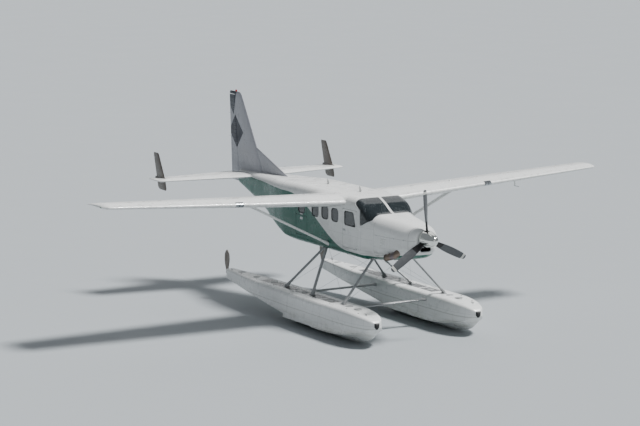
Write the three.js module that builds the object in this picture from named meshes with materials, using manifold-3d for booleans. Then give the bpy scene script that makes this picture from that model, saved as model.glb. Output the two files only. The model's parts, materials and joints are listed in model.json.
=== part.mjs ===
// Single-turboprop, high-wing, strut-braced floatplane. Millimetres.
// +X is forward, +Y is to port and +Z is up. The origin is on the floor under the middle of the
// aircraft's length, and the keels of its two floats stand on that floor.
// A station is a distance behind the spinner's tip, and a height is measured from the propeller's axis.
import * as THREE from 'three';
import { mergeVertices } from 'three/addons/utils/BufferGeometryUtils.js';
import Module from 'manifold-3d';

const wasm = await Module();
wasm.setup();

// Whole aircraft
const LENGTH = 11460;
const SPAN = 15870;
const HUB_ABOVE_FLOOR = 2800;
const NOSE_X = LENGTH / 2;

// Clearances
const SEAT_GAP = 0.3;
const RUNNING_GAP = 10;

// Body: station, top, bottom, half width, top corner radius, bottom corner radius
const BODY_SECTIONS = [
  [520, 235, -410, 320, 230, 280],
  [640, 300, -520, 420, 300, 330],
  [1200, 390, -650, 570, 370, 380],
  [2030, 450, -755, 700, 330, 330],
  [2180, 480, -768, 727, 300, 300],
  [2600, 715, -800, 800, 190, 220],
  [2950, 840, -800, 800, 250, 220],
  [3350, 850, -800, 800, 260, 220],
  [6000, 845, -800, 800, 260, 220],
  [6750, 825, -740, 800, 250, 170],
  [7200, 800, -640, 755, 250, 200],
  [8500, 750, -265, 500, 230, 240],
  [9600, 715, 20, 335, 190, 200],
  [10690, 675, 265, 150, 100, 120],
];
const CORNER_STEPS = 4;
const WALL = 40;
const COWL_FRONT = 520;
const FIREWALL = 2030;
const AFT_BULKHEAD = 7200;
const CONE_END = 10690;
const BULKHEAD_THICKNESS = 30;
const COWL_WALL = 14;
const CONE_WALL = 22;

// Wing: the two halves rise by the dihedral from the middle of the body
const DIHEDRAL = THREE.MathUtils.degToRad(3);
const WING_HEIGHT = 600;
const WING_INCIDENCE = THREE.MathUtils.degToRad(2.2);
const WING_CAMBER = 0.022;
const WING_ROOT = { y: 800, leading: 3350, trailing: 5330, ratio: 0.165 };
const WING_TIP = { y: SPAN / 2 / Math.cos(DIHEDRAL), leading: 3620, trailing: 4840, ratio: 0.12 };
const WING_INNER_END = 500;
const WING_STRUT = {
  foot: { station: 4340, y: 770, height: -610 },
  head: { station: 4180, y: 3560 },
  chord: 175,
  thickness: 62,
};
const FLAP_SPAN = [870, 4880];
const AILERON_SPAN = [4960, 7560];
const CONTROL_HINGE_SHARE = 0.73;
const HINGE_PIN_RADIUS = 8;
const HINGE_PIN_REACH = 16;

// Tailplane and fin
const TAIL_HALF_SPAN = 3125;
const TAIL_HEIGHT = 600;
const ELEVATOR_HINGE = 10400;
const ELEVATOR_SPAN = [210, 2690];
const FINLET_Y = 2860;
const FIN_TOP = 2980;
const FIN_FOOT = 640;

// Propeller
const PROPELLER_DIAMETER = 2690;
const PROPELLER_STATION = 430;
const BLADE_ANGLES = [-4, 116, 236];
const SPINNER_RADIUS = 232;
const SHAFT_RADIUS = 45;

// Floats
const FLOAT_Y = 1610;
const STEP_STATION = 4600;
const STEM_STATION = 370;
const STERN_STATION = 8500;
const KEEL_FLAT = 22;
const DECK = 920;

const FOIL_SHARES = [1, 0.7, 0.45, 0.25, 0.1, 0.03, 0];
const SMALL_FOIL_SHARES = [1, 0.6, 0.3, 0.08, 0];
const NOSE_STEPS = 6;

const PAINTS = {
  white: { color: 0xe9ebe8, roughness: 0.3, metalness: 0.1 },
  green: { color: 0x1f6f5c, roughness: 0.35, metalness: 0.1 },
  grey: { color: 0x9a9c9b, roughness: 0.4, metalness: 0.5 },
  steel: { color: 0x6d6259, roughness: 0.45, metalness: 0.9 },
  polished: { color: 0xd9dadb, roughness: 0.12, metalness: 1 },
  blade: { color: 0x4c4e50, roughness: 0.4, metalness: 0.5 },
  iron: { color: 0x55575a, roughness: 0.6, metalness: 0.7 },
  glass: { color: 0x1d2730, roughness: 0.08, metalness: 0, transparent: true, opacity: 0.55 },
  trim: { color: 0x2b2d30, roughness: 0.7, metalness: 0 },
  leather: { color: 0x8f867a, roughness: 0.65, metalness: 0 },
  carpet: { color: 0x5a5b5e, roughness: 0.95, metalness: 0 },
};

const aircraft = new THREE.Group();

// A point of the aircraft, from its station, its distance to port and its height above the hub line.
function at(station, y, height) {
  return new THREE.Vector3(NOSE_X - station, y, HUB_ABOVE_FLOOR + height);
}

function fromFloor(height) {
  return height - HUB_ABOVE_FLOOR;
}

function solidOf(geometry) {
  const bare = geometry.clone();
  bare.deleteAttribute('normal');
  bare.deleteAttribute('uv');
  const merged = mergeVertices(bare, 1e-3);
  return new wasm.Manifold(new wasm.Mesh({
    numProp: 3,
    vertProperties: new Float32Array(merged.attributes.position.array),
    triVerts: new Uint32Array(merged.index.array),
  }));
}

function geometryOf(solid) {
  const mesh = solid.getMesh();
  const geometry = new THREE.BufferGeometry();
  geometry.setAttribute('position', new THREE.BufferAttribute(mesh.vertProperties, 3));
  geometry.setIndex(new THREE.BufferAttribute(mesh.triVerts, 1));
  geometry.computeVertexNormals();
  return geometry;
}

function addPiece(name, solid, paint) {
  const mesh = new THREE.Mesh(geometryOf(solid), new THREE.MeshStandardMaterial(PAINTS[paint]));
  mesh.name = name;
  aircraft.add(mesh);
  return mesh;
}

// A moving piece keeps its hinge line: a point on it and its direction.
function addMovingPiece(name, solid, paint, from, to) {
  const mesh = addPiece(name, solid, paint);
  mesh.userData.hinge = { point: from.toArray(), axis: to.clone().sub(from).normalize().toArray() };
  return mesh;
}

function join(solids) {
  return solids.reduce((whole, solid) => whole.add(solid));
}

// A closed body through rings of points. All rings have the same number of points, and each end
// is closed by a fan from its middle.
function loft(rings) {
  const count = rings[0].length;
  const points = rings.flat();
  const faces = [];
  for (let ring = 0; ring + 1 < rings.length; ring += 1) {
    for (let i = 0; i < count; i += 1) {
      const a = ring * count + i;
      const b = ring * count + ((i + 1) % count);
      faces.push([a, b, b + count], [a, b + count, a + count]);
    }
  }
  for (const [first, turned] of [[0, true], [(rings.length - 1) * count, false]]) {
    const end = points.slice(first, first + count);
    const middle = end.reduce((sum, point) => sum.add(point), new THREE.Vector3()).divideScalar(count);
    points.push(middle);
    for (let i = 0; i < count; i += 1) {
      const pair = [first + i, first + ((i + 1) % count)];
      faces.push(turned ? [pair[1], pair[0], points.length - 1] : [...pair, points.length - 1]);
    }
  }
  const volume = faces.reduce((sum, [a, b, c]) => (
    sum + points[a].dot(points[b].clone().cross(points[c]))), 0);
  const outward = volume > 0 ? faces : faces.map(([a, b, c]) => [a, c, b]);
  const geometry = new THREE.BufferGeometry().setFromPoints(points);
  geometry.setIndex(outward.flat());
  return solidOf(geometry);
}

// A round rod between two points.
function rod(from, to, radius, sides = 8) {
  const along = to.clone().sub(from);
  const geometry = new THREE.CylinderGeometry(radius, radius, along.length(), sides);
  const turn = new THREE.Quaternion().setFromUnitVectors(new THREE.Vector3(0, 1, 0), along.clone().normalize());
  geometry.applyQuaternion(turn);
  const middle = from.clone().add(to).divideScalar(2);
  geometry.translate(middle.x, middle.y, middle.z);
  return solidOf(geometry);
}

// The hole for a round pin. A pin and its hole have as many sides, and the hole's flats clear the pin's
// corners as it turns.
function pinHole([from, to], radius, sides = 8) {
  return rod(from, to, (radius + SEAT_GAP) / Math.cos(Math.PI / sides), sides);
}

// The two ends of a line, each moved outward along it.
function lengthened([from, to], extra) {
  const along = to.clone().sub(from).setLength(extra);
  return [from.clone().sub(along), to.clone().add(along)];
}

// A streamlined strut between two points, its longer way across lying fore and aft.
function strut(from, to, chord, thickness) {
  const along = to.clone().sub(from).normalize();
  const fore = new THREE.Vector3(1, 0, 0).addScaledVector(along, -along.x).normalize();
  const across = along.clone().cross(fore);
  const outline = new THREE.EllipseCurve(0, 0, chord / 2, thickness / 2).getPoints(10).slice(0, 10);
  const ring = (end) => outline.map(({ x, y }) => (
    end.clone().addScaledVector(fore, x).addScaledVector(across, y)));
  return loft([ring(from), ring(to)]);
}

// A shape drawn in the side view, station against height, made a prism from one y to another.
function sidePrism(shape, fromY, toY) {
  const geometry = new THREE.ExtrudeGeometry(shape, { depth: toY - fromY, bevelEnabled: false, curveSegments: 3 });
  const turn = new THREE.Matrix4().makeBasis(
    new THREE.Vector3(1, 0, 0),
    new THREE.Vector3(0, 0, 1),
    new THREE.Vector3(0, -1, 0),
  );
  geometry.applyMatrix4(turn);
  geometry.translate(NOSE_X, toY, HUB_ABOVE_FLOOR);
  return solidOf(geometry);
}

function sideShape(points) {
  return new THREE.Shape(points.map(([station, height]) => new THREE.Vector2(-station, height)));
}

function roundedPanel([fore, aft, low, high], top, bottom = top) {
  const shape = new THREE.Shape();
  shape.absarc(-fore - top, high - top, top, 0, Math.PI / 2);
  shape.absarc(-aft + top, high - top, top, Math.PI / 2, Math.PI);
  shape.absarc(-aft + bottom, low + bottom, bottom, Math.PI, Math.PI * 1.5);
  shape.absarc(-fore - bottom, low + bottom, bottom, Math.PI * 1.5, Math.PI * 2);
  return shape;
}

function widened([fore, aft, low, high], gap) {
  return [fore - gap, aft + gap, low - gap, high + gap];
}

function block(fore, aft, fromY, toY, low, high) {
  const geometry = new THREE.BoxGeometry(aft - fore, toY - fromY, high - low);
  const middle = at((fore + aft) / 2, (fromY + toY) / 2, (low + high) / 2);
  geometry.translate(middle.x, middle.y, middle.z);
  return solidOf(geometry);
}

// Body sections: rounded boxes, straight between stations
function bodySectionAt(station) {
  const found = BODY_SECTIONS.findIndex((row) => row[0] >= station);
  const next = found < 0 ? BODY_SECTIONS.length - 1 : Math.max(1, found);
  const before = BODY_SECTIONS[next - 1];
  const share = (station - before[0]) / (BODY_SECTIONS[next][0] - before[0]);
  return before.map((value, column) => THREE.MathUtils.lerp(value, BODY_SECTIONS[next][column], share));
}

function bodyRing([station, top, bottom, half, topRound, bottomRound], inset) {
  const corners = [[1, 1, top, topRound], [-1, 1, top, topRound],
    [-1, -1, bottom, bottomRound], [1, -1, bottom, bottomRound]];
  return corners.flatMap(([side, up, edge, round], corner) => {
    const radius = Math.max(round - inset, 10);
    const middleY = side * (half - inset - radius);
    const middleHeight = edge - up * (inset + radius);
    return Array.from({ length: CORNER_STEPS + 1 }, (_, step) => {
      const angle = (corner + step / CORNER_STEPS) * (Math.PI / 2);
      return at(station, middleY + radius * Math.cos(angle), middleHeight + radius * Math.sin(angle));
    });
  });
}

function bodySolid(fore, aft, inset) {
  const between = BODY_SECTIONS.map((row) => row[0]).filter((station) => station > fore && station < aft);
  return loft([fore, ...between, aft].map((station) => bodyRing(bodySectionAt(station), inset)));
}

const bodyOutside = bodySolid(COWL_FRONT, CONE_END, -SEAT_GAP);

// Aerofoils: a point on the upper (+1) or lower (-1) face at a share of the chord, as station and height
function foilPoint({ leading, trailing, ratio, camber = 0, incidence = 0 }, share, face) {
  const chord = trailing - leading;
  const half = 5 * ratio * chord * (0.2969 * Math.sqrt(share) - 0.126 * share
    - 0.3516 * share ** 2 + 0.2843 * share ** 3 - 0.1015 * share ** 4);
  const height = camber * chord * 4 * share * (1 - share) + face * half;
  const aft = chord * (share - 0.25);
  return new THREE.Vector2(
    leading + chord * 0.25 + aft * Math.cos(incidence) + height * Math.sin(incidence),
    height * Math.cos(incidence) - aft * Math.sin(incidence),
  );
}

function foilOutline(section, shares = FOIL_SHARES) {
  const upper = shares.map((share) => foilPoint(section, share, 1));
  const lower = shares.slice(0, -1).reverse().map((share) => foilPoint(section, share, -1));
  return [...upper, ...lower];
}

function hingeOf(section, share) {
  const upper = foilPoint(section, share, 1);
  const lower = foilPoint(section, share, -1);
  return { middle: upper.clone().add(lower).divideScalar(2), radius: upper.distanceTo(lower) / 2 };
}

function noseArc(middle, radius, incidence) {
  return Array.from({ length: NOSE_STEPS + 1 }, (_, step) => {
    const angle = Math.PI / 2 + (step / NOSE_STEPS) * Math.PI - incidence;
    return new THREE.Vector2(middle.x + radius * Math.cos(angle), middle.y + radius * Math.sin(angle));
  });
}

// A control surface: a round nose about the hinge, then straight faces to the trailing edge.
function controlOutline(section, share) {
  const { middle, radius } = hingeOf(section, share);
  const nose = noseArc(middle, radius, section.incidence ?? 0);
  return [...nose, foilPoint(section, 1, -1), foilPoint(section, 1, 1)];
}

// The cove that it turns in, open to the rear.
function coveOutline(section, share) {
  const incidence = section.incidence ?? 0;
  const { middle, radius } = hingeOf(section, share);
  const nose = noseArc(middle, radius + RUNNING_GAP, incidence);
  const aft = new THREE.Vector2(Math.cos(incidence), -Math.sin(incidence)).multiplyScalar(section.trailing);
  return [...nose, nose.at(-1).clone().add(aft), nose[0].clone().add(aft)];
}

// Wing
function wingSectionAt(y) {
  const share = (y - WING_ROOT.y) / (WING_TIP.y - WING_ROOT.y);
  const between = (column) => THREE.MathUtils.lerp(WING_ROOT[column], WING_TIP[column], share);
  return {
    leading: between('leading'),
    trailing: between('trailing'),
    ratio: between('ratio'),
    camber: WING_CAMBER,
    incidence: WING_INCIDENCE,
  };
}

function wingPoint(side, y, station, height) {
  const up = height * Math.cos(DIHEDRAL) + y * Math.sin(DIHEDRAL);
  const out = y * Math.cos(DIHEDRAL) - height * Math.sin(DIHEDRAL);
  return at(station, side * out, WING_HEIGHT + up);
}

function wingRing(side, y, outline) {
  return outline.map((point) => wingPoint(side, y, point.x, point.y));
}

function wingControl(side, [fromY, toY]) {
  const ends = [fromY, toY].map((y) => hingeOf(wingSectionAt(y), CONTROL_HINGE_SHARE).middle);
  const from = wingPoint(side, fromY, ends[0].x, ends[0].y);
  const to = wingPoint(side, toY, ends[1].x, ends[1].y);
  const pin = rod(...lengthened([from, to], HINGE_PIN_REACH), HINGE_PIN_RADIUS);
  const hole = pinHole(lengthened([from, to], HINGE_PIN_REACH + SEAT_GAP), HINGE_PIN_RADIUS);
  const surface = loft([fromY + RUNNING_GAP, toY - RUNNING_GAP].map((y) => (
    wingRing(side, y, controlOutline(wingSectionAt(y), CONTROL_HINGE_SHARE)))));
  const cove = loft([fromY, toY].map((y) => (
    wingRing(side, y, coveOutline(wingSectionAt(y), CONTROL_HINGE_SHARE)))));
  return {
    from,
    to,
    surface: surface.add(pin),
    room: cove.add(hole),
  };
}

// Wing tip rings: distance in from the tip, leading edge moved aft, trailing edge moved forward, thickness
const WING_TIP_RINGS = [
  [170, 0, 0, 1],
  [60, 45, 15, 0.8],
  [0, 170, 90, 0.36],
];

function wingLoft(side, lowered) {
  const lower = (outline) => outline.map(({ x, y }) => new THREE.Vector2(x, y - lowered));
  const rings = [wingRing(side, WING_INNER_END, lower(foilOutline(wingSectionAt(WING_INNER_END))))];
  for (const [inboard, leadingBack, trailingIn, thickness] of WING_TIP_RINGS) {
    const y = WING_TIP.y - inboard;
    const section = wingSectionAt(y);
    section.leading += leadingBack;
    section.trailing -= trailingIn;
    section.ratio *= thickness;
    rings.push(wingRing(side, y, lower(foilOutline(section))));
  }
  return loft(rings);
}

const SIDES = [['left', 1], ['right', -1]];

for (const [name, side] of SIDES) {
  const flap = wingControl(side, FLAP_SPAN);
  const aileron = wingControl(side, AILERON_SPAN);
  const wing = wingLoft(side, 0).subtract(bodyOutside).subtract(flap.room).subtract(aileron.room);
  addPiece(`wing_${name}`, wing, 'white');
  addMovingPiece(`flap_${name}`, flap.surface, 'white', flap.from, flap.to);
  addMovingPiece(`aileron_${name}`, aileron.surface, 'white', aileron.from, aileron.to);
  addPiece(`wing_strut_${name}`, wingStrut(side).subtract(bodyOutside).subtract(wingLoft(side, SEAT_GAP)), 'white');
}

// The wing strut runs from the side of the body, low down, to the middle of the wing.
function wingStrut(side) {
  const { foot, head, chord, thickness } = WING_STRUT;
  return strut(at(foot.station, side * foot.y, foot.height), wingPoint(side, head.y, head.station, 0), chord, thickness);
}

// Tailplane: y, leading edge, trailing edge, thickness
const TAIL_SECTIONS = [
  [0, 9480, 10960, 0.095],
  [3040, 9940, 10750, 0.1],
  [TAIL_HALF_SPAN, 10090, 10700, 0.05],
];

function tailSectionAt(y) {
  const [root, tip] = TAIL_SECTIONS;
  const share = y / tip[0];
  const [, leading, trailing, ratio] = root.map((value, column) => (
    THREE.MathUtils.lerp(value, tip[column], share)));
  return { leading, trailing, ratio };
}

function tailRing(side, y, outline) {
  return outline.map((point) => at(point.x, side * y, TAIL_HEIGHT + point.y));
}

function tailplaneHalf(side) {
  return loft(TAIL_SECTIONS.map(([y, leading, trailing, ratio]) => (
    tailRing(side, y, foilOutline({ leading, trailing, ratio })))));
}

function elevatorShare(section) {
  return (ELEVATOR_HINGE - section.leading) / (section.trailing - section.leading);
}

function elevatorHalf(side, gap, outlineOf) {
  return loft(ELEVATOR_SPAN.map((y, end) => {
    const section = tailSectionAt(y);
    return tailRing(side, y + (end ? -gap : gap), outlineOf(section, elevatorShare(section)));
  }));
}

// The torque tube joins the halves of the elevator and stands in the tailplane at each end.
const TORQUE_TUBE_RADIUS = 22;
const TORQUE_TUBE_REACH = 6;
const ROUND_SIDES = 16;
const elevatorEnds = [-1, 1].map((side) => (
  at(ELEVATOR_HINGE, side * (ELEVATOR_SPAN[1] + TORQUE_TUBE_REACH), TAIL_HEIGHT)));
const elevator = join([
  elevatorHalf(1, RUNNING_GAP, controlOutline),
  elevatorHalf(-1, RUNNING_GAP, controlOutline),
  rod(...elevatorEnds, TORQUE_TUBE_RADIUS, ROUND_SIDES),
]);
const elevatorRoom = join([
  elevatorHalf(1, 0, coveOutline),
  elevatorHalf(-1, 0, coveOutline),
  pinHole(lengthened(elevatorEnds, SEAT_GAP), TORQUE_TUBE_RADIUS, ROUND_SIDES),
]);
// Between the halves of the elevator the tailplane ends ahead of the torque tube.
const TAILPLANE_MIDDLE_END = 10340;
const tailplaneMiddleCut = block(TAILPLANE_MIDDLE_END, LENGTH, -ELEVATOR_SPAN[0], ELEVATOR_SPAN[0],
  TAIL_HEIGHT - 200, TAIL_HEIGHT + 200);
const tailplane = join([tailplaneHalf(1), tailplaneHalf(-1)]).subtract(tailplaneMiddleCut).subtract(elevatorRoom);
addPiece('stabilizer', tailplane, 'white');
addMovingPiece('elevator', elevator, 'white', ...elevatorEnds);

// The slot for the tailplane, through the tail cone and under the fin, is a little larger than its root.
const TAIL_SLOT = { leading: 9478, trailing: 10960, ratio: 0.0958 };
const tailSlot = loft([-1, 1].map((side) => tailRing(side, 700, foilOutline(TAIL_SLOT))));

// Finlets near the tailplane's tips: height, leading edge, trailing edge, thickness
const FINLET_SECTIONS = [
  [290, 10120, 10500, 0.06],
  [350, 10090, 10620, 0.09],
  [600, 10160, 10700, 0.09],
  [1290, 10540, 10890, 0.09],
  [1355, 10610, 10880, 0.05],
];
// A finlet clasps the tailplane: its saddle, a plate around the tailplane's edges, joins the halves
// above and below.
const SADDLE = { fore: 10090, aft: 10790, half: 14, reach: 60 };
for (const [name, side] of SIDES) {
  const finlet = loft(FINLET_SECTIONS.map(([height, leading, trailing, ratio]) => (
    foilOutline({ leading, trailing, ratio }, SMALL_FOIL_SHARES).map((point) => (
      at(point.x, side * FINLET_Y + point.y, height))))));
  const clasped = loft([FINLET_Y - 160, FINLET_Y + 170].map((y) => {
    const section = tailSectionAt(y);
    section.ratio += 0.0012;
    return tailRing(side, y, foilOutline(section));
  }));
  const middle = side * FINLET_Y;
  const saddle = block(SADDLE.fore, SADDLE.aft, middle - SADDLE.half, middle + SADDLE.half,
    TAIL_HEIGHT - SADDLE.reach, TAIL_HEIGHT + SADDLE.reach);
  addPiece(`finlet_${name}`, finlet.add(saddle).subtract(clasped), 'white');
}

// Fin and rudder: height, leading edge, trailing edge, thickness
const FIN_SECTIONS = [
  [FIN_FOOT, 9270, 11335, 0.075],
  [FIN_TOP - 90, 10690, LENGTH, 0.085],
  [FIN_TOP, 10850, 11400, 0.05],
];
// The rudder's hinge line leans aft: station at the foot and at the top
const RUDDER_FOOT = { height: 275, station: 10790 };
const RUDDER_HEAD = { height: FIN_TOP - 30, station: 11120 };
const RUDDER_ROOT = 640;

function finSectionAt(height) {
  const [foot, head] = FIN_SECTIONS;
  const share = (height - foot[0]) / (head[0] - foot[0]);
  const [, leading, trailing, ratio] = foot.map((value, column) => (
    THREE.MathUtils.lerp(value, head[column], share)));
  return { leading, trailing, ratio };
}

function finRing(height, outline) {
  return outline.map((point) => at(point.x, point.y, height));
}

function rudderStation(height) {
  const share = (height - RUDDER_FOOT.height) / (RUDDER_HEAD.height - RUDDER_FOOT.height);
  return THREE.MathUtils.lerp(RUDDER_FOOT.station, RUDDER_HEAD.station, share);
}

function rudderSolid(heights, outlineOf) {
  return loft(heights.map((height) => {
    const section = finSectionAt(Math.max(height, RUDDER_ROOT));
    const share = (rudderStation(height) - section.leading) / (section.trailing - section.leading);
    return finRing(height, outlineOf(section, share));
  }));
}

function rudderAxisAt(height) {
  return at(rudderStation(height), 0, height);
}

const RUDDER_TOP = FIN_TOP - 110;
const rudderLine = [RUDDER_FOOT.height, RUDDER_HEAD.height].map(rudderAxisAt);
const rudder = rudderSolid([RUDDER_FOOT.height + 25, RUDDER_ROOT, RUDDER_TOP], controlOutline);
const rudderRoom = rudderSolid([RUDDER_FOOT.height - 75, RUDDER_ROOT, RUDDER_TOP + 2 * RUNNING_GAP], coveOutline);
const finBlade = loft(FIN_SECTIONS.map(([height, leading, trailing, ratio]) => (
  finRing(height, foilOutline({ leading, trailing, ratio })))));
// The dorsal fin runs forward from the fin's foot along the back of the body: height, leading edge,
// half thickness
const DORSAL_SECTIONS = [
  [700, 7700, 25],
  [1200, 9120, 22],
  [1440, 9830, 16],
];
const DORSAL_EDGE = 160;
const DORSAL_AFT = 10300;
const dorsal = loft(DORSAL_SECTIONS.map(([height, leading, half]) => [
  at(leading, 0, height), at(leading + DORSAL_EDGE, half, height), at(DORSAL_AFT, half, height),
  at(DORSAL_AFT, -half, height), at(leading + DORSAL_EDGE, -half, height),
]));
const fin = join([finBlade, dorsal]).subtract(bodyOutside).subtract(rudderRoom).subtract(tailSlot);
const rudderPin = [RUDDER_TOP - 30, RUDDER_TOP + 40].map(rudderAxisAt);
addPiece('vertical_fin', fin.subtract(pinHole(lengthened(rudderPin, SEAT_GAP), HINGE_PIN_RADIUS)), 'white');
addMovingPiece('rudder', rudder.add(rod(...rudderPin, HINGE_PIN_RADIUS)), 'white', ...rudderLine);

// Cabin shell: hollow from the firewall to the aft bulkhead, with its windows and doorways cut
const cabinInside = bodySolid(FIREWALL + BULKHEAD_THICKNESS, AFT_BULKHEAD - BULKHEAD_THICKNESS, WALL);
const CABIN_SIDE = 800;

// Openings in the side walls: fore station, aft station, low height, high height
const WINDOW_LOW = 60;
const WINDOW_HIGH = 440;
const CABIN_WINDOWS = [[3720, 4100], [4260, 4640], [4800, 5180]];
const CREW_DOOR = [2730, 3490, -560, 500];
const CREW_WINDOW = [[2800, 50], [3400, 50], [3400, 450], [2920, 450]];
const CARGO_LOWER = [5450, 6700, -560, 0];
const CARGO_UPPER = [5450, 6700, 10, 555];
const CARGO_WINDOWS = [[5600, 5980], [6170, 6550]];
const PASSENGER_LOWER = [5450, 6060, -560, 0];
const PASSENGER_UPPER = [5450, 6060, 10, 555];
const PASSENGER_WINDOW = [5565, 5945];
// The corners of a door leaf and of its doorway. Where two leaves meet, their corners are small.
const LEAF_CORNER = 70;
const SPLIT_CORNER = 12;
const DOORWAY_CORNER = 35;
const WINDOW_CORNER = 110;
// The windshield's opening in the side view, and the glass behind it, which laps its edges
const WINDSHIELD_TOP = 1300;
const WINDSHIELD_OUTLINE = [
  [2120, 330], [2600, 90], [2600, 540], [2885, 700], [2885, WINDSHIELD_TOP], [2120, WINDSHIELD_TOP],
];
const WINDSHIELD_LAP = [
  [2095, 300], [2630, 55], [2630, 540], [2915, 680], [2915, WINDSHIELD_TOP], [2095, WINDSHIELD_TOP],
];
const WINDSHIELD_POST = 28;
const GLASS = 6;
const GLASS_LAP = 50;

function wallCut(side, shape, inner = CABIN_SIDE - WALL - 60, outer = CABIN_SIDE + 60) {
  return side > 0 ? sidePrism(shape, inner, outer) : sidePrism(shape, -outer, -inner);
}

function windowShape([fore, aft]) {
  return roundedPanel([fore, aft, WINDOW_LOW, WINDOW_HIGH], WINDOW_CORNER);
}

function doorway(side, panel) {
  return wallCut(side, roundedPanel(widened(panel, RUNNING_GAP), DOORWAY_CORNER));
}

function outerDoorway(side, lower, upper) {
  return doorway(side, [lower[0], lower[1], lower[2], upper[3]]);
}

// A door leaf is as thick as the cabin wall and lies flush in it.
function doorLeaf(side, panel, corners, windows) {
  const leaf = wallCut(side, roundedPanel(panel, ...corners), CABIN_SIDE - WALL, CABIN_SIDE);
  return windows.reduce((rest, shape) => rest.subtract(wallCut(side, shape)), leaf);
}

function paneBehind(side, [fore, aft, low, high]) {
  const innerFace = CABIN_SIDE - WALL - SEAT_GAP - GLASS;
  const [fromY, toY] = side > 0 ? [innerFace, innerFace + GLASS] : [-innerFace - GLASS, -innerFace];
  return block(fore, aft, fromY, toY, low, high);
}

// A door hinge: the line of its pins, with a pin past each end of the leaf that stands in the wall
const DOOR_PIN_INSET = 10;
const DOOR_PIN_DEPTH = 8;
const DOOR_PIN_RADIUS = 5;
const DOOR_PIN_REACH = RUNNING_GAP + 14;
const DOOR_PIN_INSIDE = 100;

function hingeLine(side, corner, panel) {
  const [fore, aft, low, high] = panel;
  const y = side * (CABIN_SIDE - DOOR_PIN_DEPTH);
  return {
    front: [at(fore + DOOR_PIN_INSET, y, low), at(fore + DOOR_PIN_INSET, y, high)],
    top: [at(fore, y, high - DOOR_PIN_INSET), at(aft, y, high - DOOR_PIN_INSET)],
    bottom: [at(fore, y, low + DOOR_PIN_INSET), at(aft, y, low + DOOR_PIN_INSET)],
  }[corner];
}

// Short pins at the ends of a hinge line, each starting inside the leaf's own edge
function pinLines(line, ends, reach) {
  const inner = lengthened(line, -DOOR_PIN_INSIDE);
  const outer = lengthened(line, reach);
  return ends.map((end) => [inner[end], outer[end]]);
}

const WHOLE = [LEAF_CORNER, LEAF_CORNER];
const UPPER = [LEAF_CORNER, SPLIT_CORNER];
const LOWER = [SPLIT_CORNER, LEAF_CORNER];
// Doors: name, side, panel, top and bottom corners, hinge edge, which pin ends stand in the wall, windows
const DOORS = [
  ['crew_door_left', 1, CREW_DOOR, WHOLE, 'front', [0, 1], [sideShape(CREW_WINDOW)]],
  ['crew_door_right', -1, CREW_DOOR, WHOLE, 'front', [0, 1], [sideShape(CREW_WINDOW)]],
  ['cargo_door_upper', 1, CARGO_UPPER, UPPER, 'top', [0, 1], CARGO_WINDOWS.map(windowShape)],
  ['cargo_door_lower', 1, CARGO_LOWER, LOWER, 'front', [0], []],
  ['passenger_door_upper', -1, PASSENGER_UPPER, UPPER, 'top', [0, 1], [windowShape(PASSENGER_WINDOW)]],
  ['passenger_door_lower', -1, PASSENGER_LOWER, LOWER, 'bottom', [0, 1], []],
];

let cabinShell = bodySolid(FIREWALL, AFT_BULKHEAD, 0).subtract(cabinInside);
for (const side of [1, -1]) {
  for (const range of CABIN_WINDOWS) {
    cabinShell = cabinShell.subtract(wallCut(side, windowShape(range)));
  }
  cabinShell = cabinShell.subtract(doorway(side, CREW_DOOR));
  const windshieldCut = [WINDSHIELD_POST, CABIN_SIDE + 100];
  const span = side > 0 ? windshieldCut : windshieldCut.map((y) => -y).reverse();
  cabinShell = cabinShell.subtract(sidePrism(sideShape(WINDSHIELD_OUTLINE), ...span));
}
cabinShell = cabinShell.subtract(outerDoorway(1, CARGO_LOWER, CARGO_UPPER));
cabinShell = cabinShell.subtract(outerDoorway(-1, PASSENGER_LOWER, PASSENGER_UPPER));
for (const [name, side, panel, corners, edge, ends, windows] of DOORS) {
  const line = hingeLine(side, edge, panel);
  const pins = pinLines(line, ends, DOOR_PIN_REACH).map((pin) => rod(...pin, DOOR_PIN_RADIUS));
  const holes = pinLines(line, ends, DOOR_PIN_REACH + SEAT_GAP).map((pin) => pinHole(pin, DOOR_PIN_RADIUS));
  cabinShell = cabinShell.subtract(join(holes));
  const leaf = join([doorLeaf(side, panel, corners, windows), ...pins]);
  addMovingPiece(name, leaf, windows.length ? 'white' : 'green', ...line);
}
addPiece('cabin_shell', cabinShell, 'white');

const windshieldSkin = bodySolid(FIREWALL + BULKHEAD_THICKNESS, 3100, WALL + SEAT_GAP)
  .subtract(bodySolid(FIREWALL, 3200, WALL + SEAT_GAP + GLASS));
addPiece('windshield', windshieldSkin.intersect(
  sidePrism(sideShape(WINDSHIELD_LAP), -CABIN_SIDE, CABIN_SIDE),
), 'glass');

// One pane behind a row of windows
function windowPane(side, fore, aft) {
  return paneBehind(side, widened([fore, aft, WINDOW_LOW, WINDOW_HIGH], GLASS_LAP));
}

const CREW_PANE = [2765, 3440, 15, 485];
for (const [name, side] of SIDES) {
  addPiece(`cabin_glass_${name}`, windowPane(side, CABIN_WINDOWS[0][0], CABIN_WINDOWS[2][1]), 'glass');
  addPiece(`crew_door_glass_${name}`, paneBehind(side, CREW_PANE), 'glass');
}
addPiece('cargo_door_glass', windowPane(1, CARGO_WINDOWS[0][0], CARGO_WINDOWS[1][1]), 'glass');
addPiece('passenger_door_glass', windowPane(-1, ...PASSENGER_WINDOW), 'glass');

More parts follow.
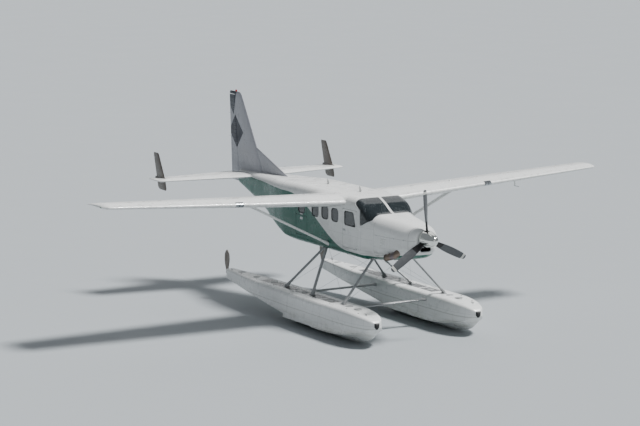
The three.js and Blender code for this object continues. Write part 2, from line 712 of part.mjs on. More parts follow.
// Tail cone, hollow and open towards the aft bulkhead, with the tailplane carried through it
const CONE_HOLLOW_END = 9900;
const coneInside = bodySolid(AFT_BULKHEAD - 100, CONE_HOLLOW_END, CONE_WALL);
const torqueTubeRoom = rod(at(ELEVATOR_HINGE, -300, TAIL_HEIGHT), at(ELEVATOR_HINGE, 300, TAIL_HEIGHT),
  TORQUE_TUBE_RADIUS + RUNNING_GAP);
addPiece('tail_cone', bodySolid(AFT_BULKHEAD + SEAT_GAP, CONE_END, 0)
  .subtract(coneInside)
  .subtract(tailSlot)
  .subtract(torqueTubeRoom)
  .subtract(rudderRoom), 'green');

// Engine cowl, a thin shell open to the firewall, with its chin inlet and the shaft's opening
const SHAFT_OPENING = 70;
const CHIN_INLET = { low: -350, high: -225, half: 170 };
const cowlInside = bodySolid(COWL_FRONT + COWL_WALL + 22, FIREWALL + 50, COWL_WALL);
const EXHAUST_PATH = [[1060, -330, -250], [1110, -470, -400], [1220, -575, -520], [1480, -640, -600]];
const EXHAUST_RADIUS = 92;
const EXHAUST_WALL = 7;

function exhaustTube(radius) {
  const curve = new THREE.CatmullRomCurve3(EXHAUST_PATH.map((point) => at(...point)));
  const outline = new THREE.Shape(new THREE.EllipseCurve(0, 0, radius, radius).getPoints(10).slice(0, 10));
  return solidOf(new THREE.ExtrudeGeometry(outline, { steps: 6, extrudePath: curve }));
}

const chinInlet = block(COWL_FRONT - 60, COWL_FRONT + 120,
  -CHIN_INLET.half, CHIN_INLET.half, CHIN_INLET.low, CHIN_INLET.high);
addPiece('engine_cowl', bodySolid(COWL_FRONT, FIREWALL - SEAT_GAP, 0)
  .subtract(cowlInside)
  .subtract(chinInlet)
  .subtract(rod(at(COWL_FRONT - 60, 0, 0), at(COWL_FRONT + 120, 0, 0), SHAFT_OPENING, 20))
  .subtract(exhaustTube(EXHAUST_RADIUS + SEAT_GAP)), 'white');

// Engine: one plain block from the firewall to the propeller shaft's bearing
const ENGINE_FRONT = 760;
const ENGINE_RADIUS = 235;
addPiece('engine_block', rod(at(ENGINE_FRONT, 0, 0), at(FIREWALL - SEAT_GAP, 0, 0), ENGINE_RADIUS, 20)
  .subtract(rod(at(ENGINE_FRONT - 20, 0, 0), at(ENGINE_FRONT + 130, 0, 0), SHAFT_RADIUS + 1, 24))
  .subtract(exhaustTube(EXHAUST_RADIUS + SEAT_GAP)), 'iron');
addPiece('exhaust_stack', exhaustTube(EXHAUST_RADIUS)
  .subtract(exhaustTube(EXHAUST_RADIUS - EXHAUST_WALL).subtract(block(900, 1130, -700, 0, -500, 0))), 'steel');

// Propeller: hub, shaft and three twisted blades, with a spinner over the hub
const BLADE_ROOT_RADIUS = 58;
// Blade sections: distance from the axis, chord, thickness, pitch in degrees from the disc
const BLADE_SECTIONS = [
  [170, 118, 92, 62],
  [340, 178, 62, 50],
  [700, 232, 34, 36],
  [1100, 205, 20, 26],
  [1290, 150, 12, 22],
  [PROPELLER_DIAMETER / 2, 70, 6, 20],
];

function bladeSolid(angle) {
  const turn = THREE.MathUtils.degToRad(angle);
  const out = new THREE.Vector3(0, Math.sin(turn), Math.cos(turn));
  const round = new THREE.Vector3(0, -Math.cos(turn), Math.sin(turn));
  const hub = at(PROPELLER_STATION, 0, 0);
  const rings = BLADE_SECTIONS.map(([radius, chord, thickness, pitch]) => {
    const twist = THREE.MathUtils.degToRad(pitch);
    const along = round.clone().multiplyScalar(Math.cos(twist)).add(new THREE.Vector3(Math.sin(twist), 0, 0));
    const across = along.clone().cross(out);
    const outline = new THREE.EllipseCurve(0, 0, chord / 2, thickness / 2).getPoints(8).slice(0, 8);
    return outline.map(({ x, y }) => hub.clone().addScaledVector(out, radius)
      .addScaledVector(along, x).addScaledVector(across, y));
  });
  const root = rod(hub, hub.clone().addScaledVector(out, 200), BLADE_ROOT_RADIUS);
  return loft(rings).add(root);
}

const HUB_RADIUS = 105;
const SPINNER_BASE = 498;
const BLADE_HOLE_RADIUS = 80;
const BACK_PLATE = 9;
const propellerBlades = join([
  ...BLADE_ANGLES.map(bladeSolid),
  rod(at(PROPELLER_STATION - 80, 0, 0), at(PROPELLER_STATION + 75, 0, 0), HUB_RADIUS, 16),
  rod(at(SPINNER_BASE + SEAT_GAP, 0, 0), at(SPINNER_BASE + BACK_PLATE, 0, 0), SPINNER_RADIUS - 2, 16),
  rod(at(PROPELLER_STATION, 0, 0), at(ENGINE_FRONT + 60, 0, 0), SHAFT_RADIUS, 24),
]);
const propellerLine = [at(PROPELLER_STATION, 0, 0), at(0, 0, 0)];
addMovingPiece('propeller_blades', propellerBlades, 'blade', ...propellerLine);

const SPINNER_WALL = 8;
const SPINNER_STEPS = 6;
const spinnerProfile = (radius, length) => Array.from({ length: SPINNER_STEPS + 1 }, (_, step) => {
  const angle = (step / SPINNER_STEPS) * (Math.PI / 2);
  return new THREE.Vector2(radius * Math.sin(angle) ** 0.9, length * Math.cos(angle) ** 1.25);
});
const spinnerOuter = spinnerProfile(SPINNER_RADIUS, SPINNER_BASE).reverse();
const spinnerInner = spinnerProfile(SPINNER_RADIUS - SPINNER_WALL, SPINNER_BASE - SPINNER_WALL);
const spinnerShell = new THREE.LatheGeometry([...spinnerInner, ...spinnerOuter]
  .map(({ x, y }) => new THREE.Vector2(x < 1e-6 ? 0 : x, y)), 16);
spinnerShell.rotateZ(-Math.PI / 2);
spinnerShell.translate(NOSE_X - SPINNER_BASE, 0, HUB_ABOVE_FLOOR);
const bladeRoom = join(BLADE_ANGLES.map((angle) => {
  const turn = THREE.MathUtils.degToRad(angle);
  const end = at(PROPELLER_STATION, 400 * Math.sin(turn), 400 * Math.cos(turn));
  return rod(at(PROPELLER_STATION, 0, 0), end, BLADE_HOLE_RADIUS);
}));
addMovingPiece('spinner', solidOf(spinnerShell).subtract(bladeRoom), 'polished', ...propellerLine);

// Cabin floor on its two beams, with a runner along the aisle
const FLOOR_TOP = -570;
const FLOOR_THICKNESS = 25;
const FLOOR_ENDS = [2200, 6950];
const FLOOR_BEAM = { y: 330, half: 25 };
const RUNNER = { fore: 3700, aft: 6900, fromY: -250, toY: 70, thickness: 3 };
const floorSpace = bodySolid(FIREWALL + BULKHEAD_THICKNESS + SEAT_GAP,
  AFT_BULKHEAD - BULKHEAD_THICKNESS - SEAT_GAP, WALL + SEAT_GAP);
const floorPlate = block(...FLOOR_ENDS, -CABIN_SIDE, CABIN_SIDE, FLOOR_TOP - FLOOR_THICKNESS, FLOOR_TOP);
const floorBeams = [1, -1].map((side) => {
  const middle = side * FLOOR_BEAM.y;
  return block(...FLOOR_ENDS, middle - FLOOR_BEAM.half, middle + FLOOR_BEAM.half, -CABIN_SIDE, FLOOR_TOP);
});
const runner = block(RUNNER.fore, RUNNER.aft, RUNNER.fromY, RUNNER.toY, FLOOR_TOP, FLOOR_TOP + RUNNER.thickness);
addPiece('cabin_floor', join([floorPlate, ...floorBeams, runner]).intersect(floorSpace), 'carpet');

// Instrument panel with its coaming, pedestal and the two control wheels
const PANEL_HALF = 660;
const panelBody = sidePrism(sideShape([
  [2330, 250], [2730, 190], [2745, 165], [2700, -120], [2560, -140], [2330, -60],
]), -PANEL_HALF, PANEL_HALF);
const pedestal = sidePrism(sideShape([
  [2560, -100], [2720, -130], [2900, -330], [2900, FLOOR_TOP + SEAT_GAP], [2520, FLOOR_TOP + SEAT_GAP],
]), -110, 110);
const wheels = [1, -1].flatMap((side) => [
  rod(at(2650, side * 370, -20), at(2890, side * 370, -35), 15, 8),
  block(2880, 2910, side * 370 - 150, side * 370 + 150, -55, -15),
  block(2880, 2910, side * 370 - 150, side * 370 - 120, -55, 75),
  block(2880, 2910, side * 370 + 120, side * 370 + 150, -55, 75),
]);
addPiece('instrument_panel', join([panelBody, pedestal, ...wheels]), 'trim');

// Seats: one side outline, made as wide as the place it serves, on rails along the floor
const SEAT_OUTLINE = [
  [-240, 330], [-240, 440], [160, 400], [320, 1010], [400, 1010],
  [285, 330], [180, 40], [110, 40], [90, 300], [-120, 300], [-150, 40], [-210, 40],
];

function seat(station, fromY, toY) {
  const outline = SEAT_OUTLINE.map(([aft, up]) => [station + aft, FLOOR_TOP + up]);
  return sidePrism(sideShape(outline), fromY, toY);
}

function rail(fore, aft, y) {
  return block(fore, aft, y - 18, y + 18, FLOOR_TOP + SEAT_GAP, FLOOR_TOP + 55);
}

// Rows: station of the seat, from y, to y
const CREW_SEATS = [[3330, 150, 600], [3330, -600, -150]];
const LEFT_SEATS = [[4480, 80, 700], [5260, 80, 700], [6250, 80, 700]];
const RIGHT_SEATS = [[4480, -700, -260], [5260, -700, -260], [6450, -700, -260]];
const crewRails = [220, 530].flatMap((y) => [rail(3050, 3650, y), rail(3050, 3650, -y)]);
const crewBridge = block(3440, 3520, -560, 560, FLOOR_TOP + SEAT_GAP, FLOOR_TOP + 40);
addPiece('crew_seats', join([...CREW_SEATS.map((row) => seat(...row)), ...crewRails, crewBridge]), 'leather');
addPiece('cabin_seats_left', join([...LEFT_SEATS.map((row) => seat(...row)),
  rail(4150, 6750, 180), rail(4150, 6750, 600)]), 'leather');
addPiece('cabin_seats_right', join([...RIGHT_SEATS.map((row) => seat(...row)),
  rail(4150, 6800, -340), rail(4150, 6800, -620)]), 'leather');

// Floats. Sections: station, keel, chine, deck, half width at the chine, half width at the deck,
// with heights from the floor
const FLOAT_SECTIONS = [
  [STEM_STATION, 520, 585, 700, 70, 75],
  [440, 385, 520, 765, 185, 180],
  [640, 215, 430, 830, 305, 285],
  [1000, 85, 340, 885, 405, 375],
  [1600, 12, 255, DECK, 455, 420],
  [2300, 0, 215, DECK, 465, 425],
  [2950, 0, 210, DECK, 468, 432],
  [STEP_STATION, 0, 200, DECK, 465, 425],
  [STEP_STATION + 2, 105, 290, DECK, 440, 425],
  [6400, 335, 470, DECK, 340, 350],
  [STERN_STATION, 590, 650, DECK, 120, 130],
];

function floatRing([station, keel, chine, deck, halfChine, halfDeck], centreY, grow) {
  const half = [
    [KEEL_FLAT, keel - grow],
    [halfChine + grow, chine - grow * 0.3],
    [halfDeck + grow, deck - halfDeck * 0.3],
    [halfDeck * 0.9 + grow, deck - halfDeck * 0.1 + grow * 0.5],
    [halfDeck * 0.7, deck + grow],
  ];
  const both = [...half, ...half.map(([y, height]) => [-y, height]).reverse()];
  return both.map(([y, height]) => at(station, centreY + y, fromFloor(height)));
}

function floatSolid(centreY, grow) {
  return loft(FLOAT_SECTIONS.map((row) => floatRing(row, centreY, grow)));
}

// Water rudder: a post turns in two lugs on the transom and carries a blade that lifts over the stern.
const POST_STATION = STERN_STATION + 62;
const POST_LOW = 640;
const POST_HIGH = 870;
const LUG_THICKNESS = 16;
const POST_RADIUS = 24;
const POST_PIN_RADIUS = 12;
const PIVOT = { station: STERN_STATION + 185, height: 790 };
const CHEEK_GAP = 20;
const CHEEK = 7;
const CHEEK_HALF = 36;
const POST_GAP = 6;
const BLADE_HALF = 10;
// Leaf outline of the raised blade: aft of the pivot, above the pivot
const BLADE_LEAF = [
  [-38, -30], [38, -30], [60, 60], [128, 240], [150, 400], [120, 540], [30, 645],
  [-30, 645], [-110, 560], [-140, 400], [-105, 230], [-60, 80],
];

function uprightLine(y, low, high) {
  return [at(POST_STATION, y, fromFloor(low)), at(POST_STATION, y, fromFloor(high))];
}

function pivotLine(y, reach) {
  return [y - reach, y + reach].map((end) => at(PIVOT.station, end, fromFloor(PIVOT.height)));
}

function floatWithLugs(y) {
  const lugs = [POST_LOW, POST_HIGH].map((height) => (
    block(STERN_STATION - 20, POST_STATION + 30, y - 30, y + 30, fromFloor(height - LUG_THICKNESS), fromFloor(height))));
  const hole = pinHole(uprightLine(y, POST_LOW - 50, POST_HIGH + 50), POST_PIN_RADIUS, ROUND_SIDES);
  return join([floatSolid(y, 0), ...lugs]).subtract(hole);
}

function rudderPost(y) {
  const heights = [fromFloor(PIVOT.height - CHEEK_HALF), fromFloor(PIVOT.height + CHEEK_HALF)];
  const outer = CHEEK_GAP + CHEEK;
  const cheeks = [-outer, CHEEK_GAP].map((from) => (
    block(POST_STATION, PIVOT.station + CHEEK_HALF, y + from, y + from + CHEEK, ...heights)));
  return join([
    rod(...uprightLine(y, POST_LOW + POST_GAP, POST_HIGH - LUG_THICKNESS - POST_GAP), POST_RADIUS),
    rod(...uprightLine(y, POST_LOW - LUG_THICKNESS - 4, POST_HIGH + 4), POST_PIN_RADIUS, ROUND_SIDES),
    block(POST_STATION - 10, POST_STATION + 26, y - outer, y + outer, ...heights),
    ...cheeks,
  ]).subtract(pinHole(pivotLine(y, 60), POST_PIN_RADIUS, ROUND_SIDES));
}

function rudderBlade(y) {
  const leaf = sideShape(BLADE_LEAF.map(([aft, up]) => (
    [PIVOT.station + aft, fromFloor(PIVOT.height + up)])));
  return sidePrism(leaf, y - BLADE_HALF, y + BLADE_HALF)
    .add(rod(...pivotLine(y, CHEEK_GAP + CHEEK + 2), POST_PIN_RADIUS, ROUND_SIDES));
}

// Float struts. Each foot stands in a shoe on the float's deck, and each head meets the belly.
const FRONT_STRUT = { foot: [2080, DECK], head: [2230, -700] };
const REAR_STRUT = { feet: [3740, 5180], head: [4700, -690] };
const STRUT_CHORD = 120;
const STRUT_THICKNESS = 46;
const SHOE = { length: 190, half: 55, height: 60 };

function shoe(station, y) {
  return block(station - SHOE.length / 2, station + SHOE.length / 2, y - SHOE.half, y + SHOE.half,
    fromFloor(DECK + SEAT_GAP), fromFloor(DECK + SHOE.height));
}

function deckLeg(side, station, head) {
  const foot = at(station, side * FLOAT_Y, fromFloor(DECK + 30));
  return strut(foot, at(head[0], side * 560, head[1]), STRUT_CHORD, STRUT_THICKNESS);
}

function aboveDeck(solid) {
  return solid.subtract(block(1000, 6000, -2400, 2400, fromFloor(DECK - 200), fromFloor(DECK + SEAT_GAP)));
}

function frontStrut(side) {
  const leg = deckLeg(side, FRONT_STRUT.foot[0], FRONT_STRUT.head);
  return aboveDeck(leg.add(shoe(FRONT_STRUT.foot[0], side * FLOAT_Y))).subtract(bodyOutside);
}

function rearStrut(side) {
  const legs = REAR_STRUT.feet.flatMap((station) => [
    deckLeg(side, station, REAR_STRUT.head), shoe(station, side * FLOAT_Y)]);
  return aboveDeck(join(legs)).subtract(bodyOutside);
}

for (const [name, side] of SIDES) {
  const y = side * FLOAT_Y;
  addPiece(`float_${name}`, floatWithLugs(y), 'white');
  addPiece(`front_strut_${name}`, frontStrut(side), 'grey');
  addPiece(`rear_strut_${name}`, rearStrut(side), 'grey');
  addMovingPiece(`water_rudder_post_${name}`, rudderPost(y), 'grey', ...uprightLine(y, POST_LOW, POST_HIGH));
  addMovingPiece(`water_rudder_blade_${name}`, rudderBlade(y), 'grey', ...pivotLine(y, 100));
}

// Spreader bars between the floats
const SPREADERS = { front: 2360, rear: 5000 };
const SPREADER_HEIGHT = 745;
const grownFloats = [1, -1].map((side) => floatSolid(side * FLOAT_Y, SEAT_GAP));
for (const [name, station] of Object.entries(SPREADERS)) {
  const ends = [-1, 1].map((side) => at(station, side * (FLOAT_Y - 300), fromFloor(SPREADER_HEIGHT)));
  const bar = strut(...ends, 130, 60);
  addPiece(`spreader_bar_${name}`, grownFloats.reduce((rest, grown) => rest.subtract(grown), bar), 'grey');
}

export default aircraft;
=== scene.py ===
# A strut-braced, high-wing floatplane with one turboprop engine, parked on its two floats.
# Metres; +X is forward, +Y is to port and +Z is up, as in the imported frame.
import json
from math import asin, atan2, copysign, cos, exp, pi, radians, sin, sqrt, tan

import bmesh
import bpy
import numpy as np
from mathutils import Matrix, Vector
from mathutils.geometry import tessellate_polygon


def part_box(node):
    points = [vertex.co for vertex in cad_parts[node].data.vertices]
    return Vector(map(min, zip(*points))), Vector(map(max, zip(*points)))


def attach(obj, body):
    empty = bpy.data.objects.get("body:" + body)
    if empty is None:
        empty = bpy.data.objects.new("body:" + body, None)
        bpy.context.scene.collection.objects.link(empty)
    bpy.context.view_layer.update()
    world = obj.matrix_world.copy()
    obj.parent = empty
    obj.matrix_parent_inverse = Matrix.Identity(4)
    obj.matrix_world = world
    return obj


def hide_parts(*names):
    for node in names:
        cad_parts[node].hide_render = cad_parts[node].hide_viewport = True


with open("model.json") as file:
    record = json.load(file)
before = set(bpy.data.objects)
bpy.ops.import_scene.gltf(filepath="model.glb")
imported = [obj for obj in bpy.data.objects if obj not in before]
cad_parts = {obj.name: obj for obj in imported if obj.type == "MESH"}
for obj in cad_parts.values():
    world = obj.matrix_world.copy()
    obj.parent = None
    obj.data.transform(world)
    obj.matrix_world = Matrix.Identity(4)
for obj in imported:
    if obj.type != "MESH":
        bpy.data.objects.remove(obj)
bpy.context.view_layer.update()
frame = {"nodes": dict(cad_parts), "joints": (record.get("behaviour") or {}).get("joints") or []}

# The view: the photograph's bearing on the aircraft, from far off with a long lens.
# The light is soft: a broad lamp from above and ahead, a weaker one behind, and a pale room.
BEARING = radians(59.6)
ELEVATION = radians(8.9)
DISTANCE = 72.0
AIM = Vector((-0.35, 0.0, 2.75))

def placed(name, data):
    """An object in the scene, made of a mesh, a lamp or a camera."""
    made = bpy.data.objects.new(name, data)
    bpy.context.collection.objects.link(made)
    return made

toward_camera = Vector((
    sin(BEARING) * cos(ELEVATION),
    -cos(BEARING) * cos(ELEVATION),
    sin(ELEVATION),
))
camera_data = bpy.data.cameras.new("camera")
camera_data.lens = 142
camera_data.clip_end = 3000
camera = placed("camera", camera_data)
camera.location = AIM + DISTANCE * toward_camera
camera.rotation_euler = (-toward_camera).to_track_quat("-Z", "Y").to_euler()
bpy.context.scene.camera = camera

# Lamps: name, strength, softness in degrees, where the light comes from
LAMPS = [
    ("key_lamp", 5.6, 11, (0.27, 0.43, 0.86)),
    ("front_lamp", 0.18, 40, (0.95, -0.2, 0.3)),
    ("rear_lamp", 0.5, 50, (-0.8, 0.4, 0.6)),
]
for name, strength, softness, source in LAMPS:
    lamp_data = bpy.data.lights.new(name, "SUN")
    lamp_data.energy = strength
    lamp_data.angle = radians(softness)
    lamp = placed(name, lamp_data)
    lamp.rotation_euler = Vector(source).to_track_quat("Z", "Y").to_euler()

room = bpy.data.worlds.new("room")
bpy.context.scene.world = room
room.use_nodes = True
backdrop = room.node_tree.nodes["Background"]
backdrop.inputs["Color"].default_value = (0.8, 0.86, 0.93, 1)
backdrop.inputs["Strength"].default_value = 0.25

# The floor: a plain pale ground far wider than the view, which takes the aircraft's shadow.
# Its finish, like every other one here, is painted by the object's own coordinates.
class Signal:
    """A value in a material's node tree, which adds and multiplies as a number does."""

    def __init__(self, tree, socket):
        self.tree = tree
        self.socket = socket

    def apply(self, operation, *others):
        node = self.tree.nodes.new("ShaderNodeMath")
        node.operation = operation
        for socket, value in zip(node.inputs, (self, *others)):
            if isinstance(value, Signal):
                self.tree.links.new(value.socket, socket)
            else:
                socket.default_value = value
        return Signal(self.tree, node.outputs[0])

    def __add__(self, other):
        return self.apply("ADD", other)

    def __sub__(self, other):
        return self.apply("SUBTRACT", other)

    def __mul__(self, other):
        return self.apply("MULTIPLY", other)

    def size(self):
        return self.apply("ABSOLUTE")

    def most(self, other):
        return self.apply("MAXIMUM", other)

    def step(self, low, high, to_low=0.0, to_high=1.0):
        """Eases from to_low to to_high as the value passes from low to high."""
        node = self.tree.nodes.new("ShaderNodeMapRange")
        node.interpolation_type = "SMOOTHSTEP"
        self.tree.links.new(self.socket, node.inputs["Value"])
        for name, value in (("From Min", low), ("From Max", high), ("To Min", to_low), ("To Max", to_high)):
            node.inputs[name].default_value = value
        return Signal(self.tree, node.outputs["Result"])

    def fade(self, low, high):
        """One up to low, and nothing from high on."""
        return self.step(low, high, 1, 0)

    def off_line(self, pitch, first=0.0):
        """Distance to the nearest of a row of lines, one pitch apart."""
        return (self - first).apply("PINGPONG", pitch / 2)

class Finish:
    """A material: its principled shader, and the object's own coordinates to paint by."""

    def __init__(self, name, color, roughness, metallic=0.0, coat=0.0, alpha=1.0, sheen=0.0, specular=0.5):
        self.material = bpy.data.materials.new(name)
        self.material.use_nodes = True
        self.tree = self.material.node_tree
        self.shader = self.tree.nodes["Principled BSDF"]
        self.color = (*color, 1)
        self.shader.inputs["Base Color"].default_value = self.color
        self.shader.inputs["Roughness"].default_value = roughness
        self.shader.inputs["Metallic"].default_value = metallic
        self.shader.inputs["Coat Weight"].default_value = coat
        self.shader.inputs["Coat Roughness"].default_value = 0.06
        self.shader.inputs["Alpha"].default_value = alpha
        self.shader.inputs["Sheen Weight"].default_value = sheen
        self.shader.inputs["Specular IOR Level"].default_value = specular
        self.coordinates = self.tree.nodes.new("ShaderNodeTexCoord")
        self.x, self.y, self.z = self.parted("Object")
        self.facing = [value.size() for value in self.parted("Normal")]

    def parted(self, output):
        split = self.tree.nodes.new("ShaderNodeSeparateXYZ")
        self.tree.links.new(self.coordinates.outputs[output], split.inputs[0])
        return [Signal(self.tree, part) for part in split.outputs]

    def noise(self, scale, detail=3, stretch=(1, 1, 1)):
        """Cloudy values around a half, in the object's own coordinates."""
        mapping = self.tree.nodes.new("ShaderNodeMapping")
        mapping.inputs["Scale"].default_value = stretch
        self.tree.links.new(self.coordinates.outputs["Object"], mapping.inputs["Vector"])
        texture = self.tree.nodes.new("ShaderNodeTexNoise")
        texture.inputs["Scale"].default_value = scale
        texture.inputs["Detail"].default_value = detail
        self.tree.links.new(mapping.outputs[0], texture.inputs["Vector"])
        return Signal(self.tree, texture.outputs["Fac"])

    def paint(self, color, mask):
        """Lays a colour over what is there, where the mask is one."""
        mix = self.tree.nodes.new("ShaderNodeMix")
        mix.data_type = "RGBA"
        below = self.shader.inputs["Base Color"]
        if below.is_linked:
            self.tree.links.new(below.links[0].from_socket, mix.inputs["A"])
        else:
            mix.inputs["A"].default_value = self.color
        mix.inputs["B"].default_value = (*color, 1)
        self.tree.links.new(mask.socket, mix.inputs["Factor"])
        self.tree.links.new(mix.outputs["Result"], below)
        return self

    def clouded(self, color, scale, detail, low, high, amount=1.0):
        """Clouds of another colour, which begin at low and are full at high."""
        return self.paint(color, self.noise(scale, detail).step(low, high) * amount)

    def gloss(self, scale, detail, smooth, dull, stretch=(1, 1, 1)):
        """Lets the roughness wander between two values."""
        spread = self.noise(scale, detail, stretch).step(0.3, 0.7, smooth, dull)
        self.tree.links.new(spread.socket, self.shader.inputs["Roughness"])
        return self

    def bump(self, height, depth, strength=1.0):
        """Raises the surface by depth metres where height is one, on top of any bump before."""
        node = self.tree.nodes.new("ShaderNodeBump")
        node.inputs["Strength"].default_value = strength
        node.inputs["Distance"].default_value = depth
        self.tree.links.new(height.socket, node.inputs["Height"])
        normal = self.shader.inputs["Normal"]
        if normal.is_linked:
            self.tree.links.new(normal.links[0].from_socket, node.inputs["Normal"])
        self.tree.links.new(node.outputs[0], normal)
        return self

    def grain(self, scale, detail, depth, strength=1.0):
        return self.bump(self.noise(scale, detail), depth, strength)

FLOOR_REACH = 900.0
floor_finish = Finish("pale_floor", (0.38, 0.41, 0.43), 0.75)
floor_finish.gloss(0.4, 3, 0.7, 0.8)
floor_mesh = bpy.data.meshes.new("floor")
floor_corners = [(x * FLOOR_REACH, y * FLOOR_REACH, 0) for x, y in ((-1, -1), (1, -1), (1, 1), (-1, 1))]
floor_mesh.from_pydata(floor_corners, [], [(0, 1, 2, 3)])
floor_mesh.materials.append(floor_finish.material)
placed("floor", floor_mesh)

# The body: a semi-monocoque of sheet aluminium, riveted on frames and stringers, in three lengths.
# They are the engine cowl, the cabin between firewall and aft bulkhead, and the tail cone.
# The cabin is a hollow shell with its windows and doorways cut, lined inside.
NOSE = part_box("spinner")[1].x
HUB = next(joint for joint in frame["joints"] if joint["name"] == "propeller_spin")["pos_m"][2]
# Sections: station behind the spinner's tip, top, bottom, half width, top corner, bottom corner
BODY_SECTIONS = [
    (0.52, 0.235, -0.41, 0.32, 0.23, 0.28),
    (0.64, 0.3, -0.52, 0.42, 0.3, 0.33),
    (1.2, 0.39, -0.65, 0.57, 0.37, 0.38),
    (2.03, 0.45, -0.755, 0.7, 0.33, 0.33),
    (2.18, 0.48, -0.768, 0.727, 0.3, 0.3),
    (2.6, 0.715, -0.8, 0.8, 0.19, 0.22),
    (2.95, 0.84, -0.8, 0.8, 0.25, 0.22),
    (3.35, 0.85, -0.8, 0.8, 0.26, 0.22),
    (6.0, 0.845, -0.8, 0.8, 0.26, 0.22),
    (6.75, 0.825, -0.74, 0.8, 0.25, 0.17),
    (7.2, 0.8, -0.64, 0.755, 0.25, 0.2),
    (8.5, 0.75, -0.265, 0.5, 0.23, 0.24),
    (9.6, 0.715, 0.02, 0.335, 0.19, 0.2),
    (10.69, 0.675, 0.265, 0.15, 0.1, 0.12),
]
FIREWALL = 2.03
AFT_BULKHEAD = 7.2
WALL = 0.04
CORNER_STEPS = 9
SIDES = (("left", 1), ("right", -1))

def at(station, y, height):
    """A point of the aircraft, from its station, its distance to port and its height over the hub."""
    return Vector((NOSE - station, y, HUB + height))

def eased(table, place):
    """The row of a table at a place between its rows, eased through them without overshoot."""
    rows = np.array(table, float)
    places = rows[:, 0]
    gaps = np.diff(places)
    slopes = np.diff(rows, axis=0) / gaps[:, None]
    row = int(np.clip(np.searchsorted(places, place) - 1, 0, len(places) - 2))

    def tangent(i):
        if i == 0 or i == len(places) - 1:
            return slopes[min(i, len(slopes) - 1)]
        product = slopes[i - 1] * slopes[i]
        total = slopes[i - 1] + slopes[i]
        return np.where(product > 0, 2 * product / np.where(total == 0, 1, total), 0)

    share = (place - places[row]) / gaps[row]
    before, after = rows[row], rows[row + 1]
    rise, fall = tangent(row) * gaps[row], tangent(row + 1) * gaps[row]
    return (before * (2 * share**3 - 3 * share**2 + 1) + rise * (share**3 - 2 * share**2 + share)
            + after * (3 * share**2 - 2 * share**3) + fall * (share**3 - share**2))

def body_ring(station, inset=0.0):
    """The rounded outline of the body at a station, the same number of points at each."""
    _, top, bottom, half, top_round, bottom_round = eased(BODY_SECTIONS, station)
    corners = [(1, top, top_round, 1), (-1, top, top_round, 1),
               (-1, bottom, bottom_round, -1), (1, bottom, bottom_round, -1)]
    ring = []
    for quarter, (side, edge, rounding, up) in enumerate(corners):
        radius = max(rounding - inset, 0.01)
        middle_y = side * (half - inset - radius)
        middle_height = edge - up * (inset + radius)
        for step in range(CORNER_STEPS + 1):
            angle = (quarter + step / CORNER_STEPS) * pi / 2
            ring.append(at(station, middle_y + radius * cos(angle), middle_height + radius * sin(angle)))
    return ring

def mesh_of(name, bm, materials):
    mesh = bpy.data.meshes.new(name)
    bm.to_mesh(mesh)
    bm.free()
    for material in materials:
        mesh.materials.append(material)
    return mesh

def smoothed(bm, sharp):
    """Shades the mesh smooth, but for the edges that bend by more than sharp degrees."""
    for face in bm.faces:
        face.smooth = True
    for edge in bm.edges:
        edge.smooth = len(edge.link_faces) == 2 and edge.calc_face_angle() < radians(sharp)

def piece(name, bm, finish, sharp=32.0, outward=False):
    """Makes an object of a bmesh. Its faces are turned outward unless they are so already."""
    if not outward:
        bmesh.ops.recalc_face_normals(bm, faces=bm.faces)
    bm.normal_update()
    smoothed(bm, sharp)
    return placed(name, mesh_of(name, bm, [finish.material]))

def skin_rings(bm, rings, ends=True, closed=False):
    """Lays quads between rings of equal length, and closes the two ends."""
    grid = [[bm.verts.new(point) for point in ring] for ring in rings]
    pairs = list(zip(grid, grid[1:])) + ([(grid[-1], grid[0])] if closed else [])
    for here, there in pairs:
        for i in range(len(here)):
            j = (i + 1) % len(here)
            bm.faces.new((here[i], here[j], there[j], there[i]))
    if ends and not closed:
        bm.faces.new(grid[0][::-1])
        bm.faces.new(grid[-1])
    return grid

def lofted(name, rings, finish, sharp=32.0, closed=False, merged=False):
    """A skin over rings. Closed, it runs on from the last to the first; merged, equal points are made one."""
    bm = bmesh.new()
    skin_rings(bm, rings, closed=closed)
    if merged:
        bmesh.ops.remove_doubles(bm, verts=bm.verts, dist=1e-5)
    return piece(name, bm, finish, sharp)

def worked_in(made):
    """The piece's mesh with its modifiers worked in."""
    graph = bpy.context.evaluated_depsgraph_get()
    mesh = bpy.data.meshes.new_from_object(made.evaluated_get(graph))
    made.modifiers.clear()
    return mesh

def carved(made, cutters, operation="DIFFERENCE", sharp=32.0):
    """Cuts the piece by the cutters, which are used up, and marks its sharp edges again."""
    for cutter in cutters:
        cut = made.modifiers.new("cut", "BOOLEAN")
        cut.operation = operation
        cut.solver = "EXACT"
        cut.material_mode = "TRANSFER"
        cut.object = cutter
    cut_mesh = worked_in(made)
    bm = bmesh.new()
    bm.from_mesh(cut_mesh)
    bmesh.ops.remove_doubles(bm, verts=bm.verts, dist=1e-5)
    smoothed(bm, sharp)
    made.data = mesh_of(made.name, bm, list(cut_mesh.materials))
    for cutter in cutters:
        bpy.data.objects.remove(cutter)
    return made

def on(made, slot, *nodes, body="airframe"):
    """Fixes a piece to a body, and hides the solids it stands for. The slot is not used."""
    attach(made, body)
    if nodes:
        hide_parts(*nodes)
    return made

